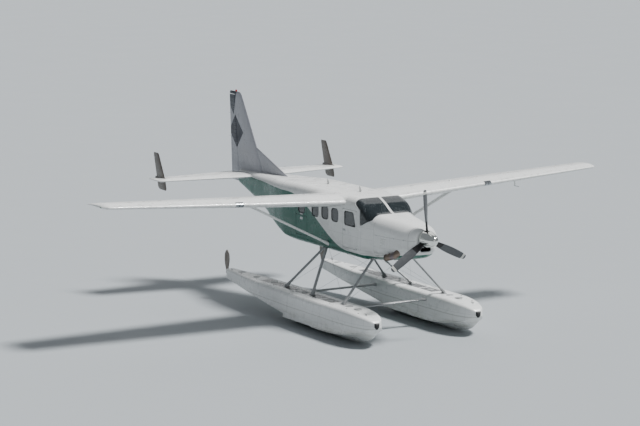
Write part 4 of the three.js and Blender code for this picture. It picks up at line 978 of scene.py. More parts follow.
tube_reach = ELEVATOR_SPAN[1] + 0.006
tube_ends = [at(ELEVATOR_HINGE, y, TAIL_HEIGHT) for y in (-tube_reach, tube_reach)]
parts = [tube("torque_tube", tube_ends, TORQUE_TUBE_RADIUS, handle_metal, 20)]
for side in (1, -1):
    rings = []
    for y in np.linspace(ELEVATOR_SPAN[0] + END_GAP, ELEVATOR_SPAN[1] - END_GAP, 8):
        section = tail_section(y)
        rings.append(tail_ring(side * y, moving_outline(section, share_of(section, ELEVATOR_HINGE))))
    parts.append(lofted("half", rings, control_paint, 35))
on(joined("elevator_skin", parts), "white_paint", "elevator", body="elevator")

# The finlets: two small upright fins near the tailplane's tips, dark brown, swept back and thin.
# Each stands on a saddle that clasps the stabilizer.
FINLET_Y = 2.86
# Finlet rings: height, leading edge, trailing edge, thickness
FINLET_SECTIONS = [(0.29, 10.12, 10.5, 0.06), (0.3, 10.108, 10.54, 0.075), (0.35, 10.09, 10.62, 0.09),
                   (0.6, 10.16, 10.7, 0.09), (0.945, 10.35, 10.795, 0.09), (1.29, 10.54, 10.89, 0.09),
                   (1.33, 10.57, 10.888, 0.075), (1.355, 10.61, 10.88, 0.05)]
FINLET_SHARES = [(1 - cos(pi * step / 14)) / 2 for step in range(15)]
finlet_paint = Finish("umber_finlet_enamel", (0.105, 0.086, 0.07), 0.42, coat=0.2)
seamed(finlet_paint, finlet_paint.z, finlet_paint.x, (0.26, 0.5), (0.1, 0.2),
       finlet_paint.facing[1].step(0.4, 0.6))
weathered(finlet_paint, (0.3, 0.27, 0.23), 0.3)
for side_name, side in SIDES:
    rings = []
    for height, *edges_and_ratio in FINLET_SECTIONS:
        section = [*edges_and_ratio, 0.0, 0.0]
        outline = ([foil_point(section, share, 1) for share in FINLET_SHARES[::-1]]
                   + [foil_point(section, share, -1) for share in FINLET_SHARES[1:]])
        rings.append([at(station, side * FINLET_Y + out, height) for station, out in outline])
    blade = lofted("blade", rings, finlet_paint, 40)
    saddle_outline = box_outline(10.09, 10.79, TAIL_HEIGHT + 0.06, TAIL_HEIGHT - 0.06, 0.05)
    saddle = slab("saddle", [[saddle_outline]], side_plane(side * FINLET_Y - 0.014), 0.028, finlet_paint, 0.004)
    on(joined(f"finlet_{side_name}_blade", [blade, saddle]), "white_paint", f"finlet_{side_name}")

# The fin and rudder: a swept fin with a dorsal fillet along the body's back, and a rudder on a raked hinge.
# A navy lozenge lies across both, and the tip is dark along its trailing edge. Both are white, painted a
# lavender grey all over as painted shade.
# The fin's and rudder's white is given as a grey on both sides alike: painted shade, as of a side turned from
# the light.
FIN_WHITE_IN_PAINTED_SHADE = (0.39, 0.395, 0.43)
NAVY = (0.007, 0.01, 0.026)
TIP_NAVY = (0.03, 0.038, 0.055)
# Fin: height, leading edge, trailing edge, thickness
FIN_ROOT, FIN_HEAD = (0.64, 9.27, 11.335, 0.075), (2.89, 10.69, 11.46, 0.085)
FIN_TIP_RINGS = [(2.89, 0.0, 0.0, 1.0), (2.94, 0.055, 0.015, 0.85), (2.968, 0.1, 0.035, 0.7),
                 (2.98, 0.16, 0.06, 0.55)]
# Dorsal fillet: height, leading edge, half thickness
DORSAL_SECTIONS = [(0.66, 7.56, 0.026), (0.7, 7.7, 0.025), (1.2, 9.12, 0.022), (1.44, 9.83, 0.016),
                   (1.48, 9.93, 0.006)]
DORSAL_END = 10.3
# The rudder's hinge: height and station of its foot and its head
RUDDER_FOOT, RUDDER_HEAD = (0.275, 10.79), (2.95, 11.12)
RUDDER_ROOT, RUDDER_TOP = 0.64, 2.87
LOZENGE_STATION, LOZENGE_HEIGHT, LOZENGE_REACH = 11.01, 1.78, 0.5

def fin_section(height):
    return section_at(FIN_ROOT, FIN_HEAD, height)

def rudder_station(height):
    return section_at(RUDDER_FOOT, RUDDER_HEAD, height)[0]

def fin_ring(height, outline):
    return [at(station, out, height) for station, out in outline]

def emblazoned(finish):
    """The navy lozenge and the dark trailing tip of fin and rudder, by height and station."""
    height, station = height_on(finish), station_on(finish)
    across = (station - LOZENGE_STATION - (height - LOZENGE_HEIGHT) * 0.1).size()
    along = (height - LOZENGE_HEIGHT).size()
    finish.paint(NAVY, (across * 1.02 + along).fade(LOZENGE_REACH - 0.004, LOZENGE_REACH + 0.004))
    above = (height - (station - 11.35) * 0.9 - 2.43).step(-0.004, 0.004)
    return finish.paint(TIP_NAVY, above * (station + (height - 2.7) * 0.25).step(11.055, 11.063))

fin_paint = emblazoned(Finish("white_and_navy_fin_enamel", FIN_WHITE_IN_PAINTED_SHADE, 0.3, coat=0.12, specular=0.32))
seamed(fin_paint, fin_paint.z, fin_paint.x, (0.35, 0.4), (0.18, 0.05), fin_paint.facing[1].step(0.4, 0.6))
weathered(fin_paint)
rudder_paint = emblazoned(Finish("white_and_navy_rudder_enamel", FIN_WHITE_IN_PAINTED_SHADE, 0.32, coat=0.12, specular=0.32))
rudder_paint.bump(rudder_paint.z.off_line(0.12, 0.05).fade(0.006, 0.02), 0.0035, 0.8)
weathered(rudder_paint)

rings = []
for height in (FIN_ROOT[0] - 0.08, *np.linspace(FIN_ROOT[0], FIN_HEAD[0], 12)):
    section = fin_section(height)
    rings.append(fin_ring(height, fixed_outline(section, share_of(section, rudder_station(height)), True)))
for height, *shortening in FIN_TIP_RINGS:
    section = shortened(fin_section(FIN_HEAD[0]), *shortening)
    rings.append(fin_ring(height, fixed_outline(section, share_of(section, rudder_station(height)), False)))
fin_blade = lofted("fin_blade", rings, fin_paint, 35, merged=True)
rings = []
for height, leading, half in DORSAL_SECTIONS:
    nose = [(leading + 0.16 * (1 - cos(turn)), half * sin(turn))
            for turn in np.linspace(pi / 2, -pi / 2, 11)]
    rings.append(fin_ring(height, [(DORSAL_END, half), *nose, (DORSAL_END, -half)]))
dorsal = lofted("dorsal", rings, fin_paint, 40)
on(joined("fin_skin", [fin_blade, dorsal]), "white_paint", "vertical_fin")

rings = []
for height in (RUDDER_FOOT[0] + 0.025, RUDDER_FOOT[0] + 0.1, *np.linspace(RUDDER_ROOT, RUDDER_TOP, 12)):
    section = fin_section(max(height, RUDDER_ROOT))
    rings.append(fin_ring(height, moving_outline(section, share_of(section, rudder_station(height)))))
rudder_skin = lofted("rudder_blade", rings, rudder_paint, 35)
pin_line = [at(rudder_station(height), 0, height) for height in (RUDDER_TOP - 0.03, RUDDER_TOP + 0.04)]
rudder_pin = tube("pin", pin_line, 0.008, handle_metal)
on(joined("rudder_skin", [rudder_skin, rudder_pin]), "white_paint", "rudder", body="rudder")

# The engine cowl: a thin riveted shell from the spinner to the firewall, with a chin air inlet in its
# rounded front face. It is split along its sides, and louvres and latches stand on the skin.
cowl_paint = Finish("white_cowl_enamel", WHITE, 0.28, coat=0.3, specular=0.4)
cowl_station = station_on(cowl_paint)
cowl_height = height_on(cowl_paint)
cowl_edge = cowl_station.step(0.5, 2.1, -0.43, -0.66)
cowl_paint.paint(TEAL, (cowl_edge - cowl_height).step(-0.004, 0.004))
split = (cowl_height + 0.045).size().fade(0.0016, 0.0045) * cowl_paint.facing[1].step(0.3, 0.5)
cowl_lines = split.most((cowl_station - 0.7).size().fade(0.0016, 0.0045))
cowl_paint.paint((0.06, 0.06, 0.06), cowl_lines * 0.8).bump(cowl_lines * -1.0, 0.002)
seamed(cowl_paint, cowl_station, cowl_height, (0.66, 0.62), (0.7, -0.36),
       cowl_paint.facing[2].fade(0.55, 0.7))
weathered(cowl_paint)
cowl_soot = cowl_station.step(1.0, 1.4) * cowl_paint.y.fade(-0.45, -0.25)
cowl_soot = cowl_soot * cowl_height.fade(-0.6, -0.3) * cowl_paint.noise(6, 4, (0.4, 1, 2)).step(0.3, 0.7)
cowl_paint.paint((0.08, 0.07, 0.06), cowl_soot * 0.55)
COWL_FRONT = 0.52
COWL_WALL = 0.014
SHAFT_OPENING = 0.07
CHIN_INLET = (-0.17, 0.17, -0.35, -0.225)
# Front face, from the shaft's opening to the lip: station, share of the way, inset of the lip
FACE_RINGS = [(0.552, 0.0, 0.03), (0.544, 0.08, 0.03), (0.54, 0.35, 0.03), (0.532, 0.7, 0.03),
              (0.524, 0.9, 0.03), (0.52, 1.0, 0.03)]
BACK_RINGS = [(0.566, 0.8, 0.05), (0.566, 0.0, 0.05)]

def face_ring(station, share, inset):
    """A ring of the cowl's front face, between the shaft's round opening and the lip."""
    ring = []
    for point in body_ring(COWL_FRONT, inset):
        spoke = Vector((point.y, point.z - HUB))
        ring.append(at(station, *(spoke.normalized() * SHAFT_OPENING).lerp(spoke, share)))
    return ring

def front_plane(station, base=0.0):
    """Carries distance to port and height to the plane at a station, and on forward."""
    return Matrix(((0, 0, 1, NOSE - station), (1, 0, 0, 0), (0, 1, 0, HUB + base), (0, 0, 0, 1)))

def skin_side(station, height):
    """Half width of the body at a height, on its rounded section."""
    _, top, bottom, half_width, top_round, bottom_round = eased(BODY_SECTIONS, station)
    for edge, rounding, up in ((top, top_round, 1), (bottom, bottom_round, -1)):
        beyond = up * height - (up * edge - rounding)
        if beyond > 0:
            return half_width - rounding + sqrt(max(rounding**2 - min(beyond, rounding)**2, 0))
    return half_width

cowl_stations = [0.545, 0.57, 0.6, 0.64, *np.linspace(0.7, FIREWALL - 0.0003, 22)]
rings = [face_ring(*row) for row in FACE_RINGS] + [body_ring(0.5232, 0.014), body_ring(0.531, 0.005)]
rings += [body_ring(station) for station in cowl_stations]
rings += [body_ring(station, COWL_WALL) for station in cowl_stations[::-1]]
rings += [face_ring(*row) for row in BACK_RINGS]
cowl = lofted("cowl_shell", rings, cowl_paint, 40, closed=True)
inlet_outline = box_outline(*CHIN_INLET, 0.055)
carved(cowl, [slab("inlet_cutter", [[inlet_outline]], front_plane(0.66), 0.3, cowl_paint)], sharp=40)
on(cowl, "white_paint", "engine_cowl")

lip_metal = Finish("worn_inlet_lip", (0.42, 0.43, 0.43), 0.35, metallic=0.85)
lip_metal.gloss(40, 5, 0.25, 0.5).clouded((0.15, 0.14, 0.13), 22, 4, 0.55, 0.7, 0.5)
# The duct is a real part; its near-black colour, and the black plate that closes it a short way in, are painted
# shade for the dark depth of the inlet.
duct_painted_shade_black = Finish("black_duct", (0.02, 0.02, 0.022), 0.7)
duct_painted_shade_black.gloss(25, 3, 0.6, 0.85)
inlet_path = [at(0.523, y, height) for y, height in inlet_outline]
duct_outlines = [grown(inlet_outline, 0.004), grown(inlet_outline, -0.004)]
duct_parts = [
    tube("inlet_lip", inlet_path + inlet_path[:2], 0.011, lip_metal, 10),
    slab("duct", [duct_outlines], front_plane(0.84), 0.3, duct_painted_shade_black),
    slab("duct_end", [[grown(inlet_outline, 0.003)]], front_plane(0.84), 0.01, duct_painted_shade_black, 0.002, 1),
]
on(joined("inlet_duct", duct_parts), "white_paint")

LOUVRE_LONG, LOUVRE_TALL, LOUVRE_PROUD = 0.23, 0.034, 0.015
LATCH_LEVEL = -0.045
louvres, latches = [], []
for side in (1, -1):
    for row in range(5):
        first, level = 1.5 + 0.008 * row, -0.125 - 0.046 * row
        rings = []
        for share in np.linspace(0, 1, 9):
            station = first + LOUVRE_LONG * share
            rise = LOUVRE_PROUD * sin(min(share * 1.25, 1) * pi / 2)
            ring = [at(station, side * (skin_side(station, level) - 0.012), level)]
            for turn in np.linspace(0, pi, 11):
                height = level + LOUVRE_TALL / 2 * cos(turn)
                ring.append(at(station, side * (skin_side(station, height) + rise * sin(turn) - 0.001), height))
            rings.append(ring)
        louvres.append(lofted("louvre", rings, cowl_paint, 40))
    for station in (0.86, 1.22, 1.6, 1.94):
        out = skin_side(station, LATCH_LEVEL)
        latch_outline = rectangle(station - 0.036, station + 0.036, LATCH_LEVEL - 0.018, LATCH_LEVEL + 0.018,
                                  0.01)
        latch_plane = side_plane(out - 0.001 if side > 0 else -out - 0.003)
        latches.append(slab("latch", [[latch_outline]], latch_plane, 0.004, handle_metal, 0.0012))
on(joined("cowl_louvres", louvres), "white_paint")
on(joined("cowl_latches", latches), "white_paint")

# The engine: a turbine in a cast casing, bolted to the firewall behind the propeller.
# It is wholly inside the cowl, so the plain solid stays and only takes the casing's finish.
casting = Finish("cast_casing", (0.16, 0.16, 0.165), 0.6, metallic=0.75)
casting.gloss(35, 4, 0.45, 0.75).grain(140, 3, 0.0012)
casting.clouded((0.07, 0.055, 0.045), 6, 5, 0.5, 0.8, 0.6)
frame["nodes"]["engine_block"].data.materials[0] = casting.material

# The exhaust stack: one welded steel tube, bent down and aft out of the cowl's lower right side.
# It is stained brown and straw by heat, sooty at its open end, and has two bands round it.
stack_steel = Finish("heat_stained_steel", (0.235, 0.185, 0.15), 0.42, metallic=0.85)
stack_station = station_on(stack_steel)
stack_steel.gloss(28, 5, 0.32, 0.62).clouded((0.33, 0.245, 0.2), 7, 4, 0.42, 0.68, 0.6)
stack_steel.paint((0.035, 0.03, 0.028), stack_station.step(1.36, 1.5) * 0.85)
stack_steel.paint((0.14, 0.15, 0.24), (stack_station - 1.19).size().step(0.02, 0.09, 0.35, 0))
EXHAUST_PATH = [(1.06, -0.33, -0.25), (1.11, -0.47, -0.4), (1.22, -0.575, -0.52), (1.48, -0.64, -0.6)]
stack_points = [at(*point) for point in EXHAUST_PATH]
stack_radii = [0.092] * 19 + [0.0925, 0.093, 0.094]
parts = [tube("stack", stack_points, stack_radii, stack_steel, 32, smooth=7, wall=0.007)]
stack_way = (stack_points[3] - stack_points[2]).normalized()
for share in (0.45, 0.93):
    middle = stack_points[2].lerp(stack_points[3], share)
    band_path = [middle - stack_way * 0.009, middle + stack_way * 0.009]
    parts.append(tube("band", band_path, 0.0965, stack_steel, 32, wall=0.008))
on(joined("exhaust_tube", parts), "exhaust_steel", "exhaust_stack")

# The propeller: three metal blades clamped in a hub, twisted from root to tip, on the engine's shaft.
# Dark boots cover the blades' roots, and a pale band marks each tip.
PROPELLER_STATION = 0.43
PROPELLER_RADIUS = 1.345
BLADE_STRAIGHT = 1.29
BLADE_ANGLES = (-4, 116, 236)
SPINNER_RADIUS = 0.232
SPINNER_BASE = 0.498
# Blade: distance from the axis, chord, thickness, pitch in degrees
BLADE_SECTIONS = [
    (0.17, 0.118, 0.092, 62), (0.34, 0.178, 0.062, 50), (0.7, 0.232, 0.034, 36),
    (1.1, 0.205, 0.02, 26), (1.29, 0.15, 0.012, 22), (PROPELLER_RADIUS, 0.07, 0.006, 20),
]
blade_metal = Finish("grey_blade_paint", (0.085, 0.09, 0.095), 0.38, metallic=0.35, coat=0.2)
blade_up = height_on(blade_metal)
blade_reach = (blade_metal.y * blade_metal.y + blade_up * blade_up).apply("SQRT")
blade_metal.paint((0.62, 0.62, 0.58), blade_reach.step(1.222, 1.226) * blade_reach.fade(1.29, 1.294))
blade_metal.paint((0.012, 0.012, 0.013), blade_reach.fade(0.5, 0.505)).gloss(18, 5, 0.28, 0.5)
blade_wear = blade_metal.noise(14, 6).step(0.6, 0.74) * blade_reach.step(0.6, 1.2)
blade_metal.paint((0.3, 0.3, 0.29), blade_wear * 0.35)
hub = at(PROPELLER_STATION, 0, 0)

def blade_way(angle):
    """The direction of a blade from the hub, by its turn from upright."""
    turn = radians(angle)
    return Vector((0, sin(turn), cos(turn)))

def blade_ring(out, radius, chord, thickness, pitch):
    """A ring of a blade: round at its root, and an aerofoil farther out."""
    twist = radians(pitch)
    along = Vector((0, -out.z, out.y)) * cos(twist) + Vector((sin(twist), 0, 0))
    across = out.cross(along)
    foil_share = min(1, max(0, (radius - 0.2) / 0.22))
    ring = []
    for spoke in turns(26):
        share = (1 - cos(spoke)) / 2
        face = 1 if spoke < pi else -1
        half = thickness * (foil_half(share) * foil_share + 0.5 * abs(sin(spoke)) * (1 - foil_share))
        camber = 0.03 * chord * 4 * share * (1 - share) * foil_share
        ring.append(hub + out * radius + along * chord * (0.5 - share) + across * (camber + face * half))
    return ring

parts = []
for angle in BLADE_ANGLES:
    out = blade_way(angle)
    rings = [blade_ring(out, 0.09, 0.112, 0.112, 62)]
    rings += [blade_ring(out, *eased(BLADE_SECTIONS, radius))
              for radius in np.linspace(0.17, BLADE_STRAIGHT, 22)]
    for share in (0.25, 0.5, 0.7, 0.85, 0.94, 0.985):
        radius = BLADE_STRAIGHT + (PROPELLER_RADIUS - BLADE_STRAIGHT) * share
        _, _, thickness, pitch = eased(BLADE_SECTIONS, radius)
        rings.append(blade_ring(out, radius, 0.15 * sqrt(1 - share**2.2), thickness, pitch))
    parts.append(lofted("blade", rings, blade_metal, 50))
    shank_path = [hub + out * reach for reach in (0, 0.15, 0.155, 0.185)]
    parts.append(tube("shank", shank_path, [0.058, 0.058, 0.066, 0.066], handle_metal, 24))
# Turned parts on the shaft: name, stations, radius, sides
SHAFT_PARTS = [
    ("hub", (0.35, 0.36, 0.505), [0.085, 0.105, 0.105], 32),
    ("plate", (SPINNER_BASE + 0.0003, SPINNER_BASE + 0.009), SPINNER_RADIUS - 0.002, 64),
    ("shaft", (PROPELLER_STATION, 0.82), 0.045, 24),
]
for name, stations, radius, sides in SHAFT_PARTS:
    parts.append(tube(name, [at(station, 0, 0) for station in stations], radius, handle_metal, sides))
on(joined("propeller_set", parts), "blade_paint", "propeller_blades", body="propeller")

# The spinner: a thin polished aluminium shell, spun to a blunt point, with a round hole for each blade.
# It is screwed to a plate behind the hub, and turns with the propeller.
spinner_metal = Finish("polished_spinner", (0.86, 0.87, 0.83), 0.1, metallic=1.0)
spinner_metal.gloss(9, 5, 0.07, 0.2, (3, 1, 1))
screw_turn = spinner_metal.y.apply("ARCTAN2", height_on(spinner_metal)).off_line(pi / 15)
screw_row = (spinner_metal.x - (NOSE - SPINNER_BASE + 0.016)).size().fade(0.003, 0.0045)
screws = screw_turn.fade(0.012, 0.02) * screw_row
spinner_metal.paint((0.25, 0.25, 0.25), screws).bump(screws, 0.0015)
SPINNER_SIDES = 64
SPINNER_WALL = 0.008

def spinner_rings(radius, length):
    rings = []
    for turn in np.linspace(pi / 2, 0.06, 22):
        reach = radius * sin(turn) ** 0.9
        station = SPINNER_BASE - length * cos(turn) ** 1.25
        rings.append([at(station, reach * cos(spoke), reach * sin(spoke)) for spoke in turns(SPINNER_SIDES)])
    return rings

bm = bmesh.new()
outer_rings = spinner_rings(SPINNER_RADIUS, SPINNER_BASE)
inner_rings = spinner_rings(SPINNER_RADIUS - SPINNER_WALL, SPINNER_BASE - SPINNER_WALL)
grid = skin_rings(bm, inner_rings[::-1] + outer_rings, ends=False)
for ring, tip in ((grid[-1], bm.verts.new(at(0, 0, 0))), (grid[0], bm.verts.new(at(0.009, 0, 0)))):
    for i in range(SPINNER_SIDES):
        bm.faces.new((ring[i], ring[(i + 1) % SPINNER_SIDES], tip))
spinner = piece("spinner_shell", bm, spinner_metal, 60)
holes = []
for angle in BLADE_ANGLES:
    out = blade_way(angle)
    holes.append(tube("hole", [hub + out * 0.12, hub + out * 0.4], 0.08, spinner_metal, 40))
carved(spinner, [joined("holes", holes)], sharp=60)
on(spinner, "polished_metal", "spinner", body="propeller")

# The tail cone: the same skin carried aft in a taper, with frames under its rivets, to a rounded end
# under the rudder.
CONE_END_RINGS = [(10.655, 0.004), (10.675, 0.014), (10.687, 0.034), (10.69, 0.06)]
rings = [body_ring(station) for station in (AFT_BULKHEAD + 0.0003, *np.linspace(7.4, 10.62, 24))]
rings += [body_ring(*row) for row in CONE_END_RINGS]
on(lofted("tail_cone_skin", rings, body_paint, 40), "teal_paint", "tail_cone")

# The floats: watertight hulls of riveted sheet, with a vee bottom, a step amidships, spray rails along
# the forward chines and a rubber bumper on each bow. Round covers close the hatches in the deck.
FLOAT_Y = 1.61
DECK = 0.92
STEP_STATION = 4.6
STERN_STATION = 8.5
KEEL_FLAT = 0.022
# Sections: station, keel, chine, deck, half width at the chine, half width at the deck
FORE_SECTIONS = [
    (0.37, 0.52, 0.585, 0.7, 0.07, 0.075), (0.44, 0.385, 0.52, 0.765, 0.185, 0.18),
    (0.64, 0.215, 0.43, 0.83, 0.305, 0.285), (1.0, 0.085, 0.34, 0.885, 0.405, 0.375),
    (1.6, 0.012, 0.255, DECK, 0.455, 0.42), (2.3, 0.0, 0.215, DECK, 0.465, 0.425),
    (2.95, 0.0, 0.21, DECK, 0.468, 0.432), (STEP_STATION, 0.0, 0.2, DECK, 0.465, 0.425),
]
AFT_SECTIONS = [(STEP_STATION + 0.002, 0.105, 0.29, DECK, 0.44, 0.425), (6.4, 0.335, 0.47, DECK, 0.34, 0.35),
                (STERN_STATION, 0.59, 0.65, DECK, 0.12, 0.13)]
# The rounded bow ahead of them: the same row, then the ring's scale
BOW_RINGS = [((0.334, 0.555, 0.6, 0.672, 0.03, 0.034), 0.5), ((0.338, 0.545, 0.595, 0.68, 0.042, 0.046), 0.9),
             ((0.35, 0.53, 0.59, 0.692, 0.06, 0.064), 1.0)]
FORE_STATIONS = [0.37, 0.39, 0.41, 0.44, 0.48, 0.53, 0.58, 0.64, *np.linspace(0.72, 2.3, 15), 2.95, 3.5, 4.05,
                 STEP_STATION]
# Bumper: distance aft, scale
BUMPER_RINGS = ((-0.03, 0.35), (-0.024, 0.62), (-0.012, 0.85), (0.004, 1.0), (0.03, 1.04), (0.046, 1.0),
                (0.052, 0.9))
RAIL_SPAN = (0.62, 3.1)
HATCH_STATIONS = (1.33, 1.78, 2.75, 4.15, 5.9, 6.9, 7.8)
HATCH_PROFILE = [(0, 0.108), (0.004, 0.108), (0.007, 0.105), (0.008, 0.094), (0.0055, 0.09), (0.0055, 0.03),
                 (0.009, 0.026), (0.01, 0.012)]
CLEATS = ((0.78, 0.847), (4.48, DECK), (8.25, DECK))
# The transom's lugs, which hold the water rudder's post
LUG_LEVELS = (0.64, 0.87)
LUG_THICKNESS = 0.016

hull_paint = Finish("white_marine_enamel", (0.8, 0.81, 0.8), 0.34, coat=0.25)
hull_station = station_on(hull_paint)
level_face = hull_paint.facing[2]
seamed(hull_paint, hull_station, hull_paint.z, (0.42, 0.26), (0.18, 0.1), level_face.fade(0.75, 0.9))
seamed(hull_paint, hull_station, hull_paint.y, (0.42, 9.0), (0.18, 4.0), level_face.step(0.75, 0.9))
weathered(hull_paint)
stain = hull_paint.z.fade(0.3, 0.56) * hull_paint.noise(4, 6, (0.5, 1, 2.5)).step(0.3, 0.75)
hull_paint.paint((0.36, 0.35, 0.27), stain * 0.45)
scum = (hull_paint.z + hull_paint.noise(3, 3) * 0.02 - 0.545).size().fade(0.004, 0.022)
hull_paint.paint((0.22, 0.22, 0.16), scum * level_face.fade(0.5, 0.7) * 0.4)
off_middle = (hull_paint.y.size() - FLOAT_Y).size()
tread = off_middle.fade(0.165, 0.17) * hull_paint.z.step(DECK - 0.01, DECK - 0.005)
tread = tread * hull_station.step(2.395, 2.405) * hull_station.fade(6.395, 6.405)
tread = tread * hull_station.off_line(0.7, 2.4).step(0.03, 0.036)
hull_paint.paint((0.085, 0.087, 0.09), tread).bump(tread * hull_paint.noise(420, 2), 0.002)
keel_strip = off_middle.fade(0.02, 0.023) * hull_paint.z.fade(0.6, 0.62) * level_face.step(0.8, 0.9)
hull_paint.paint((0.16, 0.16, 0.155), keel_strip)
cover_paint = Finish("grey_hatch_cover", (0.38, 0.39, 0.39), 0.4, metallic=0.4)
cover_paint.gloss(30, 4, 0.3, 0.55).grain(200, 2, 0.0006)

def hull_ring(row, centre_y, scale=1.0):
    """A ring round a float: flat keel, hollow vee, chine, side, rounded gunwale and flat deck."""
    station, keel, chine, deck, half_chine, half_deck = row
    half = [(KEEL_FLAT, keel)]
    for share in (0.25, 0.5, 0.75):
        half.append((KEEL_FLAT + (half_chine - KEEL_FLAT) * share,
                     keel + (chine - keel) * (share + 0.035 * sin(pi * share))))
    half.append((half_chine, chine))
    gunwale = half_deck * 0.3
    for share in (0.3, 0.65):
        half.append((half_chine + (half_deck - half_chine) * share, chine + (deck - gunwale - chine) * share))
    for turn in np.linspace(0, pi / 2, 8):
        half.append((half_deck - gunwale + gunwale * cos(turn), deck - gunwale + gunwale * sin(turn)))
    half.append((half_deck * 0.35, deck))
    both = half + [(-y, height) for y, height in reversed(half)]
    middle = (keel + deck) / 2
    return [Vector((NOSE - station, centre_y + y * scale, middle + (height - middle) * scale))
            for y, height in both]

def turned(name, middle, axis, profile, finish, sides=32, sharp=35):
    """A form turned about an axis: distance along it and radius at each step, closed at both ends."""
    axis = Vector(axis).normalized()
    across = axis.orthogonal().normalized()
    other = axis.cross(across)
    rings = [[Vector(middle) + axis * far + (across * cos(turn) + other * sin(turn)) * radius
              for turn in turns(sides)] for far, radius in profile]
    return lofted(name, rings, finish, sharp)

def spray_rail(centre_y, side):
    """A thin turned-down strip along a forward chine."""
    rings = []
    for station in np.linspace(*RAIL_SPAN, 26):
        _, _, chine, _, half_chine, _ = eased(FORE_SECTIONS, station)
        proud = 0.004 + 0.034 * min(1, (station - RAIL_SPAN[0]) / 0.25, (RAIL_SPAN[1] - station) / 0.35)
        rings.append([Vector((NOSE - station, centre_y + side * (half_chine + out), chine + up)) for out, up in
                      ((-0.01, 0.012), (proud, -0.004), (proud + 0.001, -0.012), (-0.01, -0.004))])
    return lofted("rail", rings, hull_paint, 40)

for side_name, side in SIDES:
    y = side * FLOAT_Y
    fore_rings = [hull_ring(row, y, scale) for row, scale in BOW_RINGS]
    fore_rings += [hull_ring(eased(FORE_SECTIONS, station), y) for station in FORE_STATIONS]
    aft_rings = [hull_ring(eased(AFT_SECTIONS, station), y)
                 for station in np.linspace(AFT_SECTIONS[0][0], STERN_STATION, 20)]
    parts = [lofted("forebody", fore_rings, hull_paint, 28), lofted("afterbody", aft_rings, hull_paint, 28)]
    lug_outline = box_outline(NOSE - 8.48, NOSE - 8.592, y - 0.03, y + 0.03, [0.004, 0.028, 0.028, 0.004])
    for height in LUG_LEVELS:
        lug_plane = Matrix.Translation((0, 0, height - LUG_THICKNESS))
        parts.append(slab("lug", [[lug_outline]], lug_plane, LUG_THICKNESS, hull_paint, 0.003))
    on(joined(f"float_{side_name}_hull", parts), "float_paint", f"float_{side_name}")
    on(joined(f"spray_rails_{side_name}", [spray_rail(y, 1), spray_rail(y, -1)]), "float_paint")
    rings = [hull_ring((0.352 + aft, 0.532, 0.588, 0.694, 0.068, 0.072), y, scale * 1.06)
             for aft, scale in BUMPER_RINGS]
    on(lofted(f"bow_bumper_{side_name}", rings, rubber, 30), "float_paint")

    fittings = [turned("cover", (NOSE - station, y, DECK - 0.001), (0, 0, 1), HATCH_PROFILE, cover_paint, 36)
                for station in HATCH_STATIONS]
    for station, deck in CLEATS:
        base = Vector((NOSE - station, y + side * 0.085, deck))
        horn_path = [base + Vector((along, 0, up)) for along, up in
                     ((-0.075, 0.034), (-0.05, 0.036), (0.05, 0.036), (0.075, 0.034))]
        fittings.append(tube("horn", horn_path, [0.005, 0.009, 0.009, 0.005], handle_metal))
        for reach in (-0.025, 0.025):
            post_path = [base + Vector((reach * 1.5, 0, -0.006)), base + Vector((reach, 0, 0.034))]
            fittings.append(tube("post", post_path, [0.012, 0.008], handle_metal))
    on(joined(f"deck_fittings_{side_name}", fittings), "float_paint")

# The float struts: streamline tubes between the body's belly fittings and shoes bolted to the decks.
# Two bars hold the floats apart, and thin swaged wires cross between the struts.
strut_grey = Finish("satin_grey_strut_paint", (0.33, 0.34, 0.345), 0.4, metallic=0.25, coat=0.15)
strut_grey.gloss(20, 5, 0.3, 0.55).clouded((0.17, 0.165, 0.155), 8, 6, 0.52, 0.75, 0.5)
strut_grey.grain(120, 2, 0.0003)
wire_steel = Finish("stainless_wire", (0.55, 0.56, 0.57), 0.28, metallic=1.0)
wire_steel.gloss(80, 3, 0.2, 0.4)
FRONT_FOOT, REAR_FEET = 2.08, (3.74, 5.18)
FRONT_HEAD, REAR_HEAD = (2.23, 0.56, -0.7), (4.7, 0.56, -0.69)
# Rows of a leg and of a spreader bar: share of the length, chord, thickness
LEG_ROWS = [(0, 0.15, 0.074), (0.06, 0.145, 0.07), (0.085, 0.13, 0.052), (0.1, 0.12, 0.046), (0.5, 0.12, 0.046),
            (0.9, 0.12, 0.046), (0.925, 0.13, 0.052), (0.95, 0.15, 0.068), (1, 0.165, 0.078)]
BAR_ROWS = [(0, 0.165, 0.084), (0.03, 0.15, 0.074), (0.05, 0.13, 0.06), (0.5, 0.13, 0.06), (0.95, 0.13, 0.06),
            (0.97, 0.15, 0.074), (1, 0.165, 0.084)]
SPREADERS = (("front", 2.36), ("rear", 5.0))
SPREADER_HEIGHT, SPREADER_SHORT = 0.745, 0.405
# The saddle over a leg's foot: height over the deck, half length, half width
SADDLE_ROWS = ((0.01, 0.082, 0.043), (0.024, 0.078, 0.04), (0.044, 0.068, 0.034), (0.058, 0.048, 0.026))

def deck_point(station, side, rise, inward=0.0):
    return Vector((NOSE - station, side * (FLOAT_Y - inward), DECK + rise))

def head_point(head, side, rise=0.0):
    return at(head[0], side * head[1], head[2] + rise)

def squared(value):
    """A cosine or a sine made fuller, for a ring between an ellipse and a rectangle."""
    return copysign(abs(value) ** 0.6, value)

